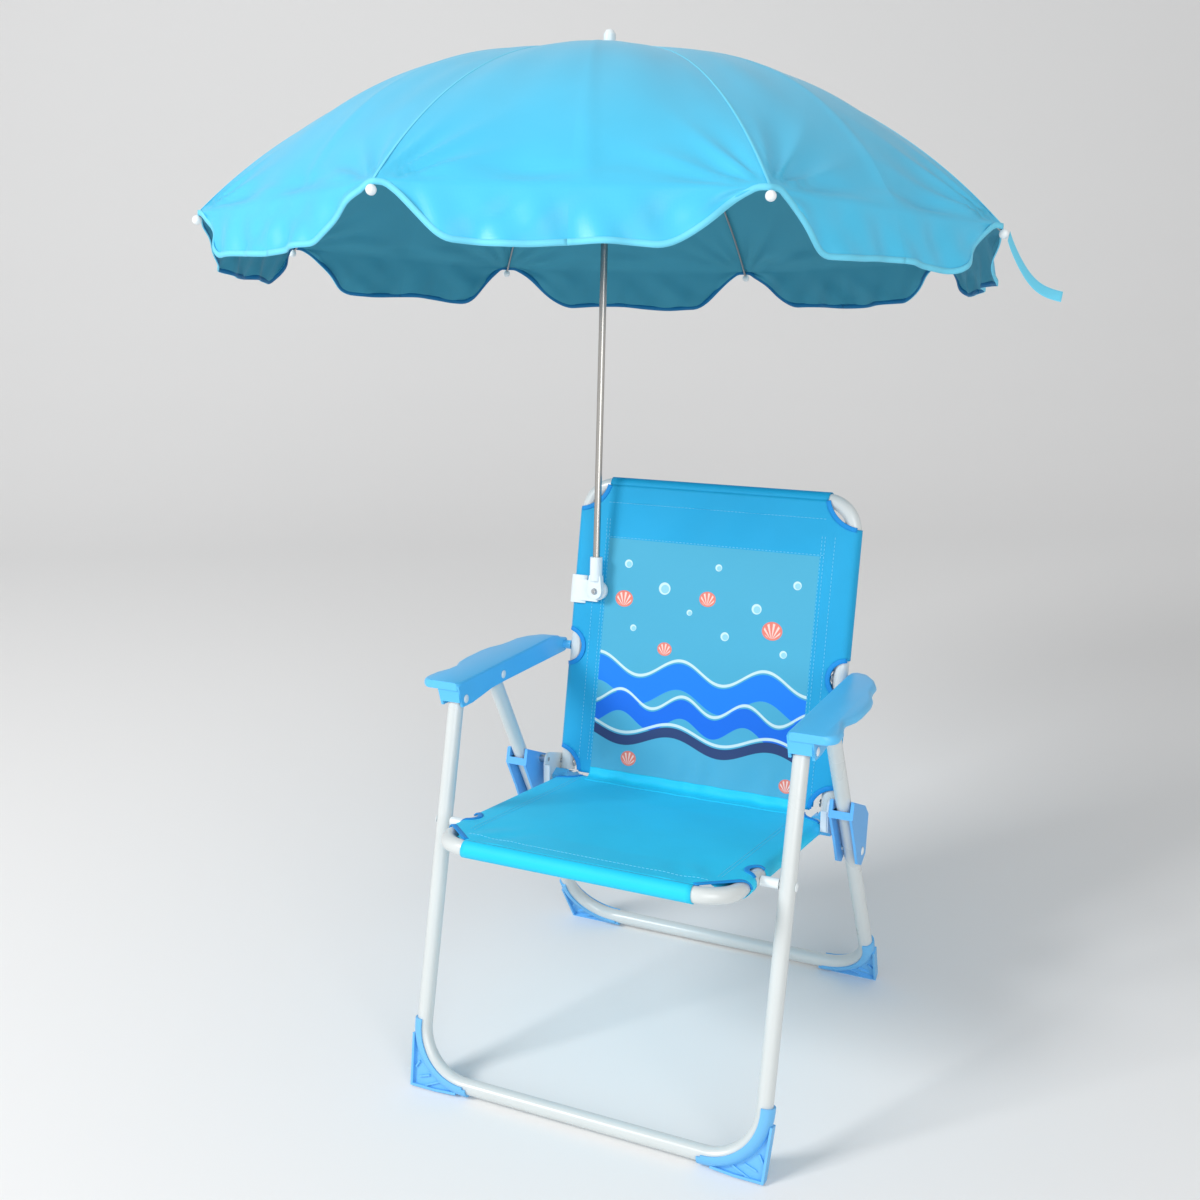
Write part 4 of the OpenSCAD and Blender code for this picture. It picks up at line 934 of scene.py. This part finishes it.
for k in range(1, 9):
    turn_k = math.radians(223.5 + 45 * (k - 1))
    work = bmesh.new()
    uv = work.loops.layers.uv.new("cloth")
    rows = [(t, False) for t in list(np.linspace(0.0135, 0.5, 22)) + list(np.linspace(0.51, 1.0, 48))]
    rows += [(t, True) for t in np.linspace(0.09, 1.0, 11)]
    grid = []
    for t, hanging in rows:
        line = []
        for a in COLUMNS:
            spot = hem_place(t, a, k) if hanging else gore_place(t, a, k)
            along = DOME * CLOTH_END * (1 if hanging else t) + (VALANCE * t if hanging else 0)
            line.append((work.verts.new(spot), (a * DOME * 0.7 / 1000, along / 1000)))
        grid.append(line)
    for upper, lower in zip(grid, grid[1:]):
        for i in range(len(COLUMNS) - 1):
            four = (upper[i], lower[i], lower[i + 1], upper[i + 1])
            face = work.faces.new([p[0] for p in four])
            face.smooth = True
            for loop, p in zip(face.loops, four):
                loop[uv].uv = p[1]
    for an_edge in work.edges:
        an_edge.smooth = not an_edge.is_boundary
    bmesh.ops.recalc_face_normals(work, faces=work.faces)
    work.faces.ensure_lookup_table()
    if work.faces[len(COLUMNS)].normal.dot(pole_up) < 0:
        bmesh.ops.reverse_faces(work, faces=work.faces)
    mesh = bpy.data.meshes.new("canopy_gore_%d" % k)
    work.to_mesh(mesh)
    work.free()
    mesh.materials.append(canopy_cloth)
    mesh.materials.append(canopy_inside_painted_shade)
    gore = bpy.data.objects.new("canopy_gore_%d" % k, mesh)
    bpy.context.scene.collection.objects.link(gore)
    wall = gore.modifiers.new("thickness", "SOLIDIFY")
    wall.thickness = 0.0005
    wall.offset = 0.0
    # The inner shell takes the painted-shade copy of the canopy cloth.
    wall.material_offset = 1
    body = "parasol_rib_%d" % k
    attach(gore, body)
    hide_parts("canopy_panel_%d" % k)
    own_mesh(gore)

    run = [hem_place(1.0, a, k) for a in COLUMNS]
    work = bmesh.new()
    uv = work.loops.layers.uv.new("cloth")
    rings = []
    for i, spot in enumerate(run):
        ahead = (run[min(i + 1, len(run) - 1)] - run[max(i - 1, 0)]).normalized()
        outward = (spot - pole_foot)
        outward = (outward - pole_up * outward.dot(pole_up)).normalized()
        outward = (outward - ahead * outward.dot(ahead)).normalized()
        down = ahead.cross(outward).normalized()
        ring = [work.verts.new(spot + outward * x + down * z) for x, z in
                ((0.0007, -0.0028), (0.0009, 0.0), (0.0007, 0.0026), (-0.0007, 0.0026),
                 (-0.0009, 0.0), (-0.0007, -0.0028))]
        rings.append(ring)
    for i, (a_ring, b_ring) in enumerate(zip(rings, rings[1:])):
        for j in range(6):
            face = work.faces.new((a_ring[j], a_ring[(j + 1) % 6], b_ring[(j + 1) % 6], b_ring[j]))
            face.smooth = True
            # The two inward faces of the tape take its painted-shade copy.
            face.material_index = 1 if j in (3, 4) else 0
            for loop, val in zip(face.loops, ((j, i), (j + 1, i), (j + 1, i + 1), (j, i + 1))):
                loop[uv].uv = (val[0] * 0.002, val[1] * 0.01)
    work.faces.new(rings[0])
    work.faces.new(list(reversed(rings[-1])))
    bmesh.ops.recalc_face_normals(work, faces=work.faces)
    mesh = bpy.data.meshes.new("hem_tape_%d" % k)
    work.to_mesh(mesh)
    work.free()
    mesh.materials.append(hem_tape)
    mesh.materials.append(hem_inside_painted_shade)
    hem = bpy.data.objects.new("hem_tape_%d" % k, mesh)
    bpy.context.scene.collection.objects.link(hem)
    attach(hem, body)
    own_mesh(hem)

    # The seam between two gores runs along the rib as a thin pale ridge
    seam = tape("rib_seam_%d" % k, [[(float(t), 0.0, 0.0) for t in np.linspace(0.02, 0.997, 60)]],
                lambda t, a, h: gore_place(t, a, k) + pole_up * ((h + 0.35) / 1000),
                0.0026, 0.0004, hem_tape, body)
    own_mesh(seam)

# Tie strap
# Doubled strip of the canopy's cloth sewn to the hem at one tip,
# left to stick out and droop.
tip = under_dome(RIM, math.radians(358.5), TIP_S)
work = bmesh.new()
uv = work.loops.layers.uv.new("cloth")
rings = []
twist = math.radians(40)
STRAP_REACH = 53
STRAP_DROP = 58
for i in range(33):
    t = i / 32
    out = 4.9 + STRAP_REACH * (0.5 * t + 0.5 * t * t)
    down = 2 + STRAP_DROP * (1.55 * t - 0.55 * t * t) - 1.6 * math.sin(math.radians(400 * t))
    spot = tip + Vector((out / 1000, 0, -down / 1000))
    flatwise = Vector((0, math.cos(twist), math.sin(twist)))
    rings.append([work.verts.new(spot + flatwise * (x * 0.0065) + Vector((0, 0, z * 0.0006)))
                  for x, z in ((-1, -0.6), (-1, 0.6), (-0.92, 1), (0.92, 1), (1, 0.6), (1, -0.6),
                               (0.92, -1), (-0.92, -1))])
for i, (a_ring, b_ring) in enumerate(zip(rings, rings[1:])):
    for j in range(8):
        face = work.faces.new((a_ring[j], a_ring[(j + 1) % 8], b_ring[(j + 1) % 8], b_ring[j]))
        face.smooth = j in (2, 6)
        for loop, val in zip(face.loops, ((j, i), (j + 1, i), (j + 1, i + 1), (j, i + 1))):
            loop[uv].uv = (val[0] * 0.004, val[1] * 0.0028)
work.faces.new(rings[0])
work.faces.new(list(reversed(rings[-1])))
bmesh.ops.recalc_face_normals(work, faces=work.faces)
mesh = bpy.data.meshes.new("tie_strap_cloth")
work.to_mesh(mesh)
work.free()
mesh.materials.append(hem_tape)
strap = bpy.data.objects.new("tie_strap_cloth", mesh)
bpy.context.scene.collection.objects.link(strap)
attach(strap, "parasol_rib_4")
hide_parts("tie_strap")
